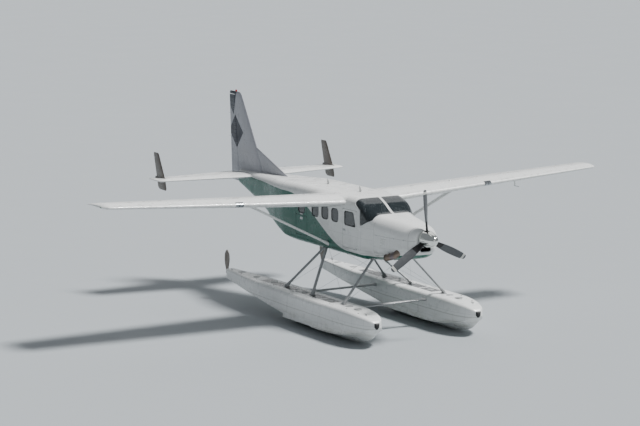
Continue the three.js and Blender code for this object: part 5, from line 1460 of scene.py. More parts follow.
def leg_and_shoe(station, side, head):
    """A leg, with its cast shoe: a bevelled foot plate, a saddle over it and four bolt heads."""
    x, y, _ = deck_point(station, side, 0)
    plate_outline = box_outline(x - 0.095, x + 0.095, y - 0.055, y + 0.055, 0.02)
    rings = [[Vector((x + long * squared(cos(turn)), y + wide * squared(sin(turn)), DECK + rise))
              for turn in turns(24)] for rise, long, wide in SADDLE_ROWS]
    parts = [
        straight_strut("leg", deck_point(station, side, 0.03), head_point(head, side), LEG_ROWS, strut_grey),
        slab("foot", [[plate_outline]], Matrix.Translation((0, 0, DECK + 0.0003)), 0.012, strut_grey, 0.003),
        lofted("saddle", rings, strut_grey, 40),
    ]
    for along in (-0.08, 0.08):
        for across in (-0.04, 0.04):
            bolt = (x + along, y + across, DECK + 0.012)
            profile = [(0, 0.0085), (0.005, 0.0085), (0.007, 0.006)]
            parts.append(turned("bolt", bolt, (0, 0, 1), profile, handle_metal, 6, 20))
    return parts

for side_name, side in SIDES:
    front = leg_and_shoe(FRONT_FOOT, side, FRONT_HEAD)
    on(joined(f"front_strut_{side_name}_leg", front), "strut_paint", f"front_strut_{side_name}")
    rear = [part for station in REAR_FEET for part in leg_and_shoe(station, side, REAR_HEAD)]
    on(joined(f"rear_strut_{side_name}_legs", rear), "strut_paint", f"rear_strut_{side_name}")
for bar_name, station in SPREADERS:
    ends = [Vector((NOSE - station, side * (FLOAT_Y - SPREADER_SHORT), SPREADER_HEIGHT)) for side in (-1, 1)]
    bar = straight_strut(f"spreader_{bar_name}", *ends, BAR_ROWS, strut_grey)
    on(bar, "strut_paint", f"spreader_bar_{bar_name}")

wire_ends = []
for side in (1, -1):
    wire_ends.append((deck_point(FRONT_FOOT, side, 0.06), head_point(REAR_HEAD, side, 0.02)))
    wire_ends.append((head_point(FRONT_HEAD, side, 0.02), deck_point(REAR_FEET[0], side, 0.06)))
for station, head in ((FRONT_FOOT, FRONT_HEAD), (REAR_FEET[1], REAR_HEAD)):
    for side in (1, -1):
        wire_ends.append((deck_point(station, side, 0.05, 0.03), head_point(head, -side, 0.02)))
wires = []
for start, end in wire_ends:
    way = (end - start).normalized()
    wire_path = [start, start + way * 0.1, start + way * 0.12, end - way * 0.12, end - way * 0.1, end]
    wires.append(tube("wire", wire_path, [0.008, 0.008, 0.0035, 0.0035, 0.008, 0.008], wire_steel, 10))
on(joined("bracing_wires", wires), "strut_paint")

# The water rudders: a steel post turns in two lugs on each transom, and a plate blade, drawn up here,
# lifts on a pivot through the post's cheeks.
POST_X = NOSE - STERN_STATION - 0.062
PIVOT_X, PIVOT_Z = NOSE - STERN_STATION - 0.185, 0.79
blade_plate = Finish("weathered_rudder_plate", (0.25, 0.225, 0.2), 0.5, metallic=0.35)
blade_plate.gloss(14, 5, 0.38, 0.65).clouded((0.13, 0.105, 0.085), 9, 6, 0.48, 0.72, 0.7)
blade_plate.bump(blade_plate.z.off_line(0.16, 0.05).fade(0.006, 0.014), 0.003)
# Leaf of a water rudder: aft of the pivot, up from it
BLADE_LEAF = [(-0.038, -0.03), (0.038, -0.03), (0.06, 0.06), (0.128, 0.24), (0.15, 0.4), (0.12, 0.54),
              (0.03, 0.645), (-0.03, 0.645), (-0.11, 0.56), (-0.14, 0.4), (-0.105, 0.23), (-0.06, 0.08)]

def curved(points, steps):
    """A closed smooth curve through points."""
    count = len(points)
    return [tuple(between(*(Vector(points[(i + shift) % count]) for shift in (-1, 0, 1, 2)), step / steps))
            for i in range(count) for step in range(steps)]

def upright_plane(y):
    """Carries length and height of the side view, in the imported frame, to a plane facing starboard."""
    return Matrix(((1, 0, 0, 0), (0, 0, -1, y), (0, 1, 0, 0), (0, 0, 0, 1)))

leaf_outline = curved([(PIVOT_X - aft, PIVOT_Z + up) for aft, up in BLADE_LEAF], 6)
cheek_outline = box_outline(POST_X, PIVOT_X - 0.036, PIVOT_Z - 0.036, PIVOT_Z + 0.036,
                            [0.004, 0.032, 0.032, 0.004])
cheek_hole = [(PIVOT_X + 0.0125 * cos(turn), PIVOT_Z + 0.0125 * sin(turn)) for turn in turns(24)]
web_outline = box_outline(POST_X - 0.026, POST_X + 0.01, PIVOT_Z - 0.036, PIVOT_Z + 0.036, 0.006)
LUG_LOW, LUG_HIGH = LUG_LEVELS
for side_name, side in SIDES:
    y = side * FLOAT_Y
    post_ends = [Vector((POST_X, y, height)) for height in (LUG_LOW + 0.006, LUG_HIGH - LUG_THICKNESS - 0.006)]
    pin_ends = [Vector((POST_X, y, height)) for height in (LUG_LOW - LUG_THICKNESS - 0.004, LUG_HIGH + 0.004)]
    pivot_ends, boss_ends = ([Vector((PIVOT_X, y + out, PIVOT_Z)) for out in (-half, half)]
                             for half in (0.029, 0.016))
    parts = [
        tube("post", post_ends, 0.024, strut_grey, 28),
        tube("pin", pin_ends, 0.012, handle_metal, 20),
        turned("nut", (POST_X, y, LUG_HIGH + 0.003), (0, 0, 1), [(0, 0.019), (0.01, 0.019), (0.012, 0.016)],
               handle_metal, 6, 20),
        slab("web", [[web_outline]], upright_plane(y + 0.0265), 0.053, strut_grey, 0.003),
    ]
    parts += [slab("cheek", [[cheek_outline, cheek_hole]], upright_plane(y + out), 0.007, strut_grey, 0.0015)
              for out in (-0.02, 0.027)]
    post = f"water_rudder_post_{side_name}"
    on(joined(f"rudder_post_{side_name}", parts), "strut_paint", post, body=post)
    parts = [
        slab("leaf", [[leaf_outline]], upright_plane(y + 0.01), 0.02, blade_plate, 0.006, 3),
        tube("pivot", pivot_ends, 0.012, handle_metal, 20),
        tube("boss", boss_ends, 0.026, blade_plate, 24),
    ]
    blade = f"water_rudder_blade_{side_name}"
    on(joined(f"rudder_leaf_{side_name}", parts), "rudder_blade_metal", blade, body=blade)

# The cabin floor: boards covered with short grey carpet, cut to the cabin's sides.
# A ribbed vinyl runner lies on it along the aisle.
FLOOR_TOP = -0.57
CARPET_SPAN = (2.24, 6.9)
RUNNER = (3.72, 6.88, 0.055, -0.235)
floor_board = Finish("primed_floor_board", (0.16, 0.17, 0.155), 0.7)
floor_board.gloss(20, 3, 0.6, 0.8).grain(90, 2, 0.0006)
frame["nodes"]["cabin_floor"].data.materials[0] = floor_board.material
cabin_carpet = Finish("cut_pile_carpet", (0.075, 0.08, 0.088), 0.95, sheen=0.35)
cabin_carpet.clouded((0.13, 0.135, 0.145), 420, 2, 0.48, 0.62, 0.7)
cabin_carpet.clouded((0.05, 0.045, 0.04), 5, 5, 0.5, 0.75, 0.5).grain(700, 2, 0.003)
runner_vinyl = Finish("ribbed_vinyl", (0.045, 0.047, 0.05), 0.5)
runner_vinyl.bump(runner_vinyl.y.off_line(0.012).step(0.001, 0.004), 0.002).gloss(12, 5, 0.4, 0.7)
carpet_side = [(NOSE - station, min(skin_side(station, FLOOR_TOP), skin_side(station, -0.6)) - WALL - 0.03)
               for station in np.linspace(*CARPET_SPAN, 26)]
carpet_outline = carpet_side + [(x, -half) for x, half in carpet_side[::-1]]
carpet_plane = Matrix.Translation((0, 0, HUB + FLOOR_TOP + 0.0003))
on(slab("carpet", [[carpet_outline]], carpet_plane, 0.004, cabin_carpet, 0.0015), "carpet", "cabin_floor")
runner_outline = box_outline(NOSE - RUNNER[0], NOSE - RUNNER[1], *RUNNER[2:], 0.02)
runner_plane = Matrix.Translation((0, 0, HUB + FLOOR_TOP + 0.0046))
on(slab("aisle_runner", [[runner_outline]], runner_plane, 0.002, runner_vinyl, 0.0008), "carpet")

# The instrument panel: a crinkle-painted face under a padded coaming, with flat displays, round dials
# and a switch row, a pedestal with levers and a trim wheel, and a control wheel for each pilot.
crinkle = Finish("crinkle_black_panel", (0.035, 0.036, 0.038), 0.6)
crinkle.grain(260, 4, 0.0012).gloss(50, 3, 0.5, 0.7)
coaming_vinyl = Finish("black_coaming_vinyl", (0.028, 0.028, 0.03), 0.7, sheen=0.1)
coaming_vinyl.grain(180, 4, 0.0012).clouded((0.06, 0.058, 0.055), 4, 4, 0.5, 0.75, 0.5)
dial_face = Finish("dial_face", (0.012, 0.012, 0.013), 0.5)
dial_face.clouded((0.05, 0.05, 0.05), 90, 3, 0.5, 0.7, 0.3)
dial_mark = Finish("dial_marks", (0.75, 0.75, 0.7), 0.5)
dial_mark.clouded((0.55, 0.55, 0.5), 60, 3, 0.4, 0.7)
display_glass = Finish("display_glass", (0.01, 0.012, 0.016), 0.08, coat=0.6)
display_glass.gloss(6, 4, 0.05, 0.16)
knob_plastic = Finish("black_knob_plastic", (0.02, 0.02, 0.02), 0.45)
knob_plastic.gloss(80, 3, 0.35, 0.55)
PANEL_HALF = 0.66
FACE_STATION, FACE_FOOT = 2.7, -0.12
# Displays: across to starboard, up from the face's foot, width, height
DISPLAYS = [(-0.375, 0.15, 0.23, 0.165), (0.0, 0.155, 0.2, 0.15), (0.375, 0.15, 0.23, 0.165)]
# Dials: across, upper needle's turn, lower needle's turn
DIALS = [(-0.205, -60, -120), (0.205, -130, -40), (-0.565, 0, -90), (0.565, -20, -110)]
DIAL_RADIUS = 0.036
# Shapes on a dial, in radii: outward along the spoke, aside from it
DIAL_TICK = [(0.66, 0.025), (0.8, 0.025), (0.8, -0.025), (0.66, -0.025)]
NEEDLE = [(-0.2, 0.04), (0.62, 0), (-0.2, -0.04)]
CONTROL_GRIP = [(-0.146, 0.075), (-0.152, 0.03), (-0.14, -0.02), (-0.08, -0.038), (0.0, -0.036),
                (0.08, -0.038), (0.14, -0.02), (0.152, 0.03), (0.146, 0.075)]
face_up = Vector((-0.045, 0, 0.285)).normalized()
face_out = Vector((-face_up.z, 0, face_up.x))
panel_turn = Matrix(((0, face_up.x, face_out.x), (-1, face_up.y, face_out.y), (0, face_up.z, face_out.z)))
panel_face = Matrix.Translation(at(FACE_STATION, 0, FACE_FOOT)) @ panel_turn.to_4x4()
panel_outline = filleted([(2.33, 0.05), (2.715, 0.11), (2.7, -0.12), (2.56, -0.14), (2.33, -0.06)],
                         [0.02, 0.004, 0.004, 0.02, 0.02])
coaming_outline = filleted([(2.33, 0.25), (2.7, 0.196), (2.748, 0.16), (2.728, 0.118), (2.33, 0.06)],
                           [0.02, 0.04, 0.018, 0.012, 0.02])
pedestal_outline = filleted([(2.56, -0.1), (2.72, -0.13), (2.9, -0.33), (2.9, FLOOR_TOP + 0.004),
                             (2.52, FLOOR_TOP + 0.004)], [0.01, 0.02, 0.03, 0.012, 0.012])
panel_parts = [
    slab("panel_box", [[panel_outline]], side_plane(-PANEL_HALF), 2 * PANEL_HALF, crinkle, 0.004),
    slab("coaming", [[coaming_outline]], side_plane(-PANEL_HALF), 2 * PANEL_HALF, coaming_vinyl, 0.014, 3),
    slab("pedestal", [[pedestal_outline]], side_plane(-0.11), 0.22, crinkle, 0.008, 3),
]

def on_face(across, up, out=0.0):
    return panel_face @ Vector((across, up, out))

def face_slab(across, up, wide, tall, thick, finish, corner, bevel=0.001, hole=None):
    """A rounded plate on the panel's face, centred, with a hole in it where one is given."""
    outlines = [box_outline(across - w / 2, across + w / 2, up - h / 2, up + h / 2, r)
                for w, h, r in ((wide, tall, corner), *([(*hole, corner * 0.6)] if hole else []))]
    return slab("plate", [outlines], panel_face, thick, finish, bevel)

def face_turned(name, across, up, out, profile, finish, sides):
    return turned(name, on_face(across, up, out), face_out, profile, finish, sides)

def dial(across, up, needle):
    """A round instrument: bezel, dark face, ten marks and a needle."""
    bezel = [(0, 1), (0.006, 1), (0.009, 0.94), (0.009, 0.88), (0.003, 0.84)]
    parts = [
        face_turned("bezel", across, up, 0, [(far, DIAL_RADIUS * share) for far, share in bezel],
                    knob_plastic, 28),
        face_turned("face", across, up, 0.0025, [(far, DIAL_RADIUS * 0.86) for far in (0, 0.0012)],
                    dial_face, 24),
    ]
    hands = [(-135 + 30 * mark, DIAL_TICK, 0.0036, 0.0006) for mark in range(10)]
    hands.append((needle, NEEDLE, 0.0044, 0.0008))
    for degrees, shape, lift, thick in hands:
        spoke = Vector((sin(radians(degrees)), cos(radians(degrees))))
        aside = Vector((spoke.y, -spoke.x))
        outline = [tuple(Vector((across, up)) + (spoke * far + aside * off) * DIAL_RADIUS)
                   for far, off in shape]
        parts.append(slab("hand", [[outline]], panel_face @ Matrix.Translation((0, 0, lift)), thick, dial_mark))
    return parts

for across, up, wide, tall in DISPLAYS:
    hole = (wide - 0.036, tall - 0.036)
    panel_parts.append(face_slab(across, up, wide, tall, 0.012, knob_plastic, 0.01, 0.002, hole))
    panel_parts.append(face_slab(across, up, wide - 0.03, tall - 0.03, 0.006, display_glass, 0.004))
    for side in (-1, 1):
        for rise in (-0.045, 0.0, 0.045):
            panel_parts.append(face_turned("knob", across + side * (wide / 2 - 0.008), up + rise, 0.011,
                                           [(0, 0.0055), (0.006, 0.0055), (0.008, 0.004)], knob_plastic, 14))
for across, *needles in DIALS:
    for up, needle in zip((0.195, 0.11), needles):
        panel_parts += dial(across, up, needle)
for bank in (-0.42, -0.1, 0.28):
    panel_parts.append(face_slab(bank + 0.075, 0.032, 0.23, 0.034, 0.003, knob_plastic, 0.004))
    for step in range(8):
        foot = on_face(bank + 0.027 * step - 0.02, 0.032, 0.003)
        lean = panel_turn @ Vector((0, 0.45 if step % 3 else -0.45, 1))
        toggle_path = [foot, foot + lean * 0.006, foot + lean * 0.016]
        panel_parts.append(tube("toggle", toggle_path, [0.0045, 0.0022, 0.003], handle_metal, 10))
for across, lean, finish in ((0.045, 0.8, knob_plastic), (0.0, 0.45, knob_plastic), (-0.045, 0.65, dial_mark)):
    foot = at(2.79, across, -0.205)
    rise = Vector((lean, 0, 1)).normalized()
    panel_parts.append(tube("lever", [foot, foot + rise * 0.085], 0.004, handle_metal, 10))
    panel_parts.append(turned("lever_knob", foot + rise * 0.078, rise,
                              [(0, 0.008), (0.006, 0.013), (0.024, 0.013), (0.03, 0.008)], finish, 16))
trim_profile = [(0, 0.052), (0.002, 0.06), (0.014, 0.06), (0.016, 0.052), (0.016, 0.016)]
panel_parts.append(turned("trim_wheel", at(2.8, 0.111, -0.33), (0, 1, 0), trim_profile, knob_plastic, 36))
for y in (0.37, -0.37):
    column_path = [at(2.69, y, -0.022), at(2.87, y, -0.033), at(2.905, y, -0.035)]
    panel_parts.append(tube("column", column_path, 0.014, handle_metal, 18))
    panel_parts.append(turned("gaiter", at(2.7, y, -0.023), (-1, 0, -0.06),
                              [(0, 0.03), (0.008, 0.03), (0.02, 0.018)], rubber, 20))
    grip_path = [at(2.895, y + across, height) for across, height in CONTROL_GRIP]
    panel_parts.append(tube("wheel", grip_path, 0.013, knob_plastic, 14, smooth=4))
    for end in (grip_path[0], grip_path[-1]):
        panel_parts.append(turned("tip", end - Vector((0, 0, 0.004)), (0, 0, 1),
                                  [(0, 0.014), (0.01, 0.015), (0.016, 0.01)], knob_plastic, 16))
    boss = filleted([(y - 0.04, -0.055), (y + 0.04, -0.055), (y + 0.048, -0.015), (y - 0.048, -0.015)], 0.01)
    panel_parts.append(slab("boss", [[boss]], front_plane(2.912), 0.03, knob_plastic, 0.005, 3))
on(joined("instrument_panel_set", panel_parts), "cockpit_trim", "instrument_panel")

# The seats: leather pads of foam on a metal pan and a moulded back, with tube legs that clamp on two
# floor rails. Two seats are for the crew, with three double and three single ones behind them.
leather = Finish("worn_grey_leather", (0.15, 0.138, 0.124), 0.48, sheen=0.05)
leather.grain(190, 5, 0.0014).grain(38, 4, 0.0022, 0.6).gloss(14, 5, 0.36, 0.6)
leather.clouded((0.21, 0.195, 0.175), 9, 5, 0.52, 0.75, 0.6)
leather.clouded((0.085, 0.078, 0.07), 26, 4, 0.56, 0.72, 0.5)
seat_shell = Finish("grey_seat_moulding", (0.2, 0.2, 0.2), 0.55)
seat_shell.gloss(60, 3, 0.45, 0.65).grain(380, 2, 0.0006)
webbing = Finish("woven_black_webbing", (0.022, 0.022, 0.025), 0.8, sheen=0.2)
weave_long = (webbing.x + webbing.z).off_line(0.004).step(0.0004, 0.0016)
weave_across = webbing.y.off_line(0.004).step(0.0004, 0.0016)
webbing.bump(weave_long * weave_across, 0.0008).clouded((0.045, 0.045, 0.05), 50, 3, 0.45, 0.65, 0.6)
PAD_WIDTH = 0.43
PAD_SWELL = 0.016
BACK_TILT = atan2(0.61, 0.16)
# Pads: name, size, channels, creases across, the pad's middle aft and up, its tilt
PADS = [
    ("cushion", (0.38, PAD_WIDTH, 0.105), (-0.06, 0.05, 0.13), (0.135,), (-0.045, 0.372), radians(-6)),
    ("back", (0.455, PAD_WIDTH - 0.02, 0.085), (-0.12, 0.0, 0.12), (0.13,), (0.27, 0.645), BACK_TILT),
    ("headrest", (0.125, 0.25, 0.075), (0.0,), (), (0.342, 0.933), BACK_TILT),
]
# Seats: group, station, from y, to y
SEATS = [
    ("crew", 3.33, 0.15, 0.6), ("crew", 3.33, -0.6, -0.15),
    ("left", 4.48, 0.08, 0.7), ("left", 5.26, 0.08, 0.7), ("left", 6.25, 0.08, 0.7),
    ("right", 4.48, -0.7, -0.26), ("right", 5.26, -0.7, -0.26), ("right", 6.45, -0.7, -0.26),
]
SEAT_NODES = {"crew": "crew_seats", "left": "cabin_seats_left", "right": "cabin_seats_right"}
PAN = [(-0.225, 0.3), (0.235, 0.272), (0.24, 0.302), (-0.222, 0.326)]
# Legs, skid and brace at each side of a seat: aft and up of both ends, radius, sides
FRAME_TUBES = [
    ((-0.18, 0.058), (-0.135, 0.3), 0.013, 14), ((0.15, 0.058), (0.105, 0.3), 0.013, 14),
    ((-0.205, 0.064), (0.175, 0.064), 0.012, 14), ((-0.17, 0.085), (0.11, 0.285), 0.008, 12),
]
# Rails: group, y, from station, to station
RAILS = [("crew", y, 3.05, 3.65) for y in (-0.53, -0.22, 0.22, 0.53)]
RAILS += [("left", y, 4.15, 6.75) for y in (0.18, 0.6)]
RAILS += [("right", y, 4.15, 6.8) for y in (-0.34, -0.62)]
RAIL_PROFILE = [(0.017, 0), (0.017, 0.01), (0.009, 0.016), (0.009, 0.05)]
RIBBON_CORNERS = ((-1, -1), (-0.9, -1), (0.9, -1), (1, -1), (1, 1), (0.9, 1), (-0.9, 1), (-1, 1))

def rounded_block(name, size, corner, finish):
    bm = bmesh.new()
    bmesh.ops.create_cube(bm, size=1)
    bmesh.ops.scale(bm, vec=size, verts=bm.verts)
    bmesh.ops.bevel(bm, geom=bm.edges[:], offset=corner, segments=4, profile=0.5, affect="EDGES",
                    clamp_overlap=True)
    return piece(name, bm, finish, 60)

def blown_up(pad):
    """Blows the pad up as cloth, and caps how far each of its points swells."""
    still = [vert.co.copy() for vert in pad.data.vertices]
    cloth = pad.modifiers.new("cloth", "CLOTH")
    cloth.settings.quality = 4
    cloth.settings.use_pressure = True
    cloth.settings.uniform_pressure_force = 4
    cloth.settings.effector_weights.gravity = 0
    cloth.collision_settings.use_collision = False
    for moment in range(1, 21):
        bpy.context.scene.frame_set(moment)
    swollen = pad.evaluated_get(bpy.context.evaluated_depsgraph_get()).data
    moved = [vert.co.copy() for vert in swollen.vertices]
    pad.modifiers.clear()
    bpy.context.scene.frame_set(1)
    for vert, before, after in zip(pad.data.vertices, still, moved):
        way = after - before
        vert.co = before + way * min(1, PAD_SWELL / max(way.length, 1e-6))

def stuffed(name, size, channels, creases):
    """A foam pad in its cover: a block blown up, sewn down in channels and creases, with a seam round it."""
    inner = [length - 2 * PAD_SWELL * 0.7 for length in size]
    pad = rounded_block(name, inner, min(inner) * 0.3, leather)
    remesh = pad.modifiers.new("remesh", "REMESH")
    remesh.mode = "VOXEL"
    remesh.voxel_size = 0.011
    pad.data = worked_in(pad)
    blown_up(pad)
    smoothing = pad.modifiers.new("smoothing", "SUBSURF")
    smoothing.levels = 1
    pad.data = worked_in(pad)
    half_long, half_wide, half_thick = (length / 2 for length in size)
    for vert in pad.data.vertices:
        x, y, z = vert.co
        if z > 0:
            inward = max(exp(-((x - place) / 0.009) ** 2) for place in channels)
            inside = min(1, max(0, (half_wide - 0.035 - abs(y)) / 0.03))
            across = max([exp(-((abs(y) - place) / 0.008) ** 2) for place in creases] or [0])
            along = min(1, max(0, (half_long - 0.03 - abs(x)) / 0.03))
            vert.co.z -= 0.009 * max(inward * inside, across * along) * min(1, z / (half_thick * 0.6))
        seam = exp(-((z - half_thick * 0.15) / 0.006) ** 2) * 0.0035
        if abs(x) / half_long > 0.85:
            vert.co.x -= copysign(seam, x)
        if abs(y) / half_wide > 0.85:
            vert.co.y -= copysign(seam, y)
    for polygon in pad.data.polygons:
        polygon.use_smooth = True
    pad.data.materials.clear()
    pad.data.materials.append(leather.material)
    return pad

def tilted(tilt):
    """The way of a tilted pad's length, forward and up, and the way of its crowned face."""
    return (-cos(tilt), 0, sin(tilt)), (sin(tilt), 0, cos(tilt))

def ribbon(name, path, width, thick, finish):
    """A flat strap through points, its width across the body."""
    rings = []
    for i, point in enumerate(path):
        along = way_at(path, i)
        fore = (Vector((1, 0, 0)) - along * along.x).normalized()
        up = along.cross(fore).normalized()
        rings.append([point + fore * a * width / 2 + up * b * thick / 2 for a, b in RIBBON_CORNERS])
    return lofted(name, rings, finish, 60)

masters = {name: stuffed(name, size, channels, creases) for name, size, channels, creases, _, _ in PADS}
metalwork = {group: [] for group in SEAT_NODES}
for number, (group, station, from_y, to_y) in enumerate(SEATS):
    middle_y, width = (from_y + to_y) / 2, to_y - from_y
    half = width / 2 - 0.012
    made = metalwork[group]

    def seat_point(aft, y, up):
        return at(station + aft, y, FLOOR_TOP + up)

    for name, _, _, _, (aft, up), tilt in PADS:
        pad = placed(f"{group}_seat_{number}_{name}", masters[name].data.copy())
        length_way, face_way = tilted(tilt)
        turn = Matrix((length_way, (0, -1, 0), face_way)).transposed().to_4x4()
        wider_by = 1.0 if name == "headrest" else (width - 0.025) / PAD_WIDTH
        place = Matrix.Translation(seat_point(aft, middle_y, up))
        pad.data.transform(place @ turn @ Matrix.Diagonal((1, wider_by, 1, 1)))
        on(pad, "seat_leather")

    shell_turn = Matrix(((0, 1, 0), *tilted(BACK_TILT))).transposed().to_4x4()
    shell_plane = Matrix.Translation(seat_point(0.262, middle_y, 0.385)) @ shell_turn
    shell_corners = [(-half, 0.0), (half, 0.0), (half, 0.46), (half * 0.55, 0.6), (-half * 0.55, 0.6),
                     (-half, 0.46)]
    shell_outline = filleted(shell_corners, [0.03, 0.03, 0.06, 0.05, 0.05, 0.06])
    made.append(slab("back_shell", [[shell_outline]], shell_plane, 0.02, seat_shell, 0.007, 3))
    rings = []
    for share in np.linspace(0, 1, 7):
        swell = 0.004 + 0.02 * sin(pi * min(1, share * 0.9 + 0.05)) ** 0.7
        bulge = [(-1, -0.002), (-1, swell * 0.3), (-0.8, swell * 0.9), (-0.3, swell),
                 (0.3, swell), (0.8, swell * 0.9), (1, swell * 0.3), (1, -0.002)]
        up = 0.045 + 0.23 * share
        rings.append([shell_plane @ Vector((across * half * 0.8, up, -out)) for across, out in bulge])
    made.append(lofted("pocket", rings, leather, 70))
    pan_outline = [(station + aft, FLOOR_TOP + up) for aft, up in filleted(PAN, 0.01)]
    made.append(slab("pan", [[pan_outline]], side_plane(middle_y - half), 2 * half, seat_shell, 0.004))
    legs_y = (from_y + 0.045, to_y - 0.045)
    for y in legs_y:
        for (aft, up), (to_aft, to_up), radius, sides in FRAME_TUBES:
            path = [seat_point(aft, y, up), seat_point(to_aft, y, to_up)]
            made.append(tube("frame", path, radius, handle_metal, sides))
    for aft in (-0.185, 0.15):
        path = [seat_point(aft, y, 0.064) for y in legs_y]
        made.append(tube("crosstube", path, 0.01, handle_metal, 14))
    for side in (1, -1):
        edge = middle_y + side * (width / 2 - 0.004)
        strap = [seat_point(0.15, edge, 0.33), seat_point(0.125, edge, 0.395),
                 seat_point(0.085, edge - side * 0.03, 0.436),
                 seat_point(0.04, middle_y + side * width * 0.25, 0.446),
                 seat_point(-0.005, middle_y + side * 0.035, 0.448)]
        made.append(ribbon("strap", strap, 0.046, 0.003, webbing))
    buckle = rounded_block("buckle", (0.055, 0.075, 0.018), 0.005, handle_metal)
    buckle.data.transform(Matrix.Translation(seat_point(-0.008, middle_y, 0.452)))
    made.append(buckle)
for group, y, fore, aft in RAILS:
    right_half = [(y + out, up) for out, up in RAIL_PROFILE]
    left_half = [(y - out, up) for out, up in RAIL_PROFILE[::-1]]
    rail_outline = filleted(right_half + left_half, 0.002, 2)
    rail_plane = front_plane(aft, FLOOR_TOP + 0.0003)
    metalwork[group].append(slab("rail", [[rail_outline]], rail_plane, aft - fore, handle_metal))
for group, node in SEAT_NODES.items():
    on(joined(f"{group}_seat_frames", metalwork[group]), "seat_leather", node)
for master in masters.values():
    bpy.data.objects.remove(master)

# Small fittings of the wing: lamps in the leading edges and at the tips, fuel caps, a pitot mast,
# hinge fairings ahead of the flaps, tie-down rings, and static wicks on the trailing edges.
lamp_glass = Finish("lamp_glass", (0.42, 0.45, 0.47), 0.06, metallic=0.75, coat=1.0)
lamp_rim = lamp_glass.y.off_line(0.115, 0.0575).step(0.034, 0.042)
lamp_rim = lamp_rim.most((height_on(lamp_glass) - 0.8).size().step(0.03, 0.08))
lamp_glass.paint((0.1, 0.11, 0.12), lamp_rim * 0.8)
red_glass = Finish("red_lamp_glass", (0.4, 0.012, 0.012), 0.12, coat=1.0)
red_glass.clouded((0.22, 0.005, 0.005), 60, 3, 0.4, 0.7)
green_glass = Finish("green_lamp_glass", (0.01, 0.24, 0.1), 0.12, coat=1.0)
green_glass.clouded((0.005, 0.13, 0.05), 60, 3, 0.4, 0.7)
wick_black = Finish("static_wick", (0.03, 0.03, 0.03), 0.6)
wick_black.gloss(90, 3, 0.5, 0.7)
LAMP_SPAN, LAMP_REACH, LAMP_PROUD = (3.9, 4.13), 0.05, 0.0015
TIP_LAMP_INWARD, TIP_LAMP_BACK = 0.03, 0.3
TIP_LAMP_SIZE = (0.15, 0.09, 0.046)
FUEL_CAPS = (1.75, 3.05)
CAP_PROFILE = [(0, 0.052), (0.004, 0.052), (0.006, 0.048), (0.005, 0.036), (0.008, 0.033), (0.009, 0.02)]
HINGE_FAIRINGS = (1.3, 2.85, 4.4)
FAIRING_FIRST, FAIRING_LENGTH = 0.48, 0.215
TIE_DOWN_Y, PITOT_Y = 4.6, 5.05
AILERON_WICKS = (5.3, 6.1, 6.9, 7.45)
ELEVATOR_WICKS = (1.6, 2.45)
RUDDER_WICKS = (1.6, 2.3)
PITOT_DROP = 0.145

def wing_face(side, y, share, face, out=0.0):
    """A point on the wing's upper (1) or lower (-1) face, raised by out."""
    station, height = foil_point(wing_section(y), share, face)
    return wing_point(side, y, station, height + out)

def landing_lamp(name, side):
    """A curved clear cover over the wing's leading edge."""
    rings = []
    for y in np.linspace(*LAMP_SPAN, 7):
        shares = [LAMP_REACH * (step / 8) ** 2 for step in range(9)]
        path = [Vector(point) for point in nose_outline(wing_section(y), shares)]
        outs = [Vector((-way.y, way.x)) for way in (way_at(path, i) for i in range(len(path)))]
        face = [point + out * LAMP_PROUD for point, out in zip(path, outs)]
        back = [point - out * 0.003 for point, out in zip(path, outs)]
        rings.append(wing_ring(side, y, face + back[::-1]))
    return lofted(name, rings, lamp_glass, 40)

def teardrop(name, middle, size, finish):
    """A low streamlined dome lying fore and aft, its blunt end forward."""
    long, wide, tall = size
    rings = []
    for turn in np.linspace(0.08, pi - 0.04, 16):
        share = (1 - cos(turn)) / 2
        girth = sin(turn) * (1.15 - 0.5 * share) / 2
        rings.append([middle + Vector((long * (0.5 - share), wide * girth * cos(spoke),
                                       tall * girth * sin(spoke))) for spoke in turns(20)])
    return lofted(name, rings, finish, 60)

def wick(name, foot, body):
    """A static wick: a short base tube and a thin black rod, straight aft."""
    base_path = [foot + Vector((0.02, 0, 0)), foot - Vector((0.018, 0, 0))]
    rod_path = [foot - Vector((0.01, 0, 0)), foot - Vector((0.125, 0, 0.004))]
    base = tube("base", base_path, 0.004, handle_metal, 10)
    rod = tube("rod", rod_path, [0.0026, 0.0018], wick_black, 8)
    return on(joined(name, [base, rod]), "white_paint", body=body)

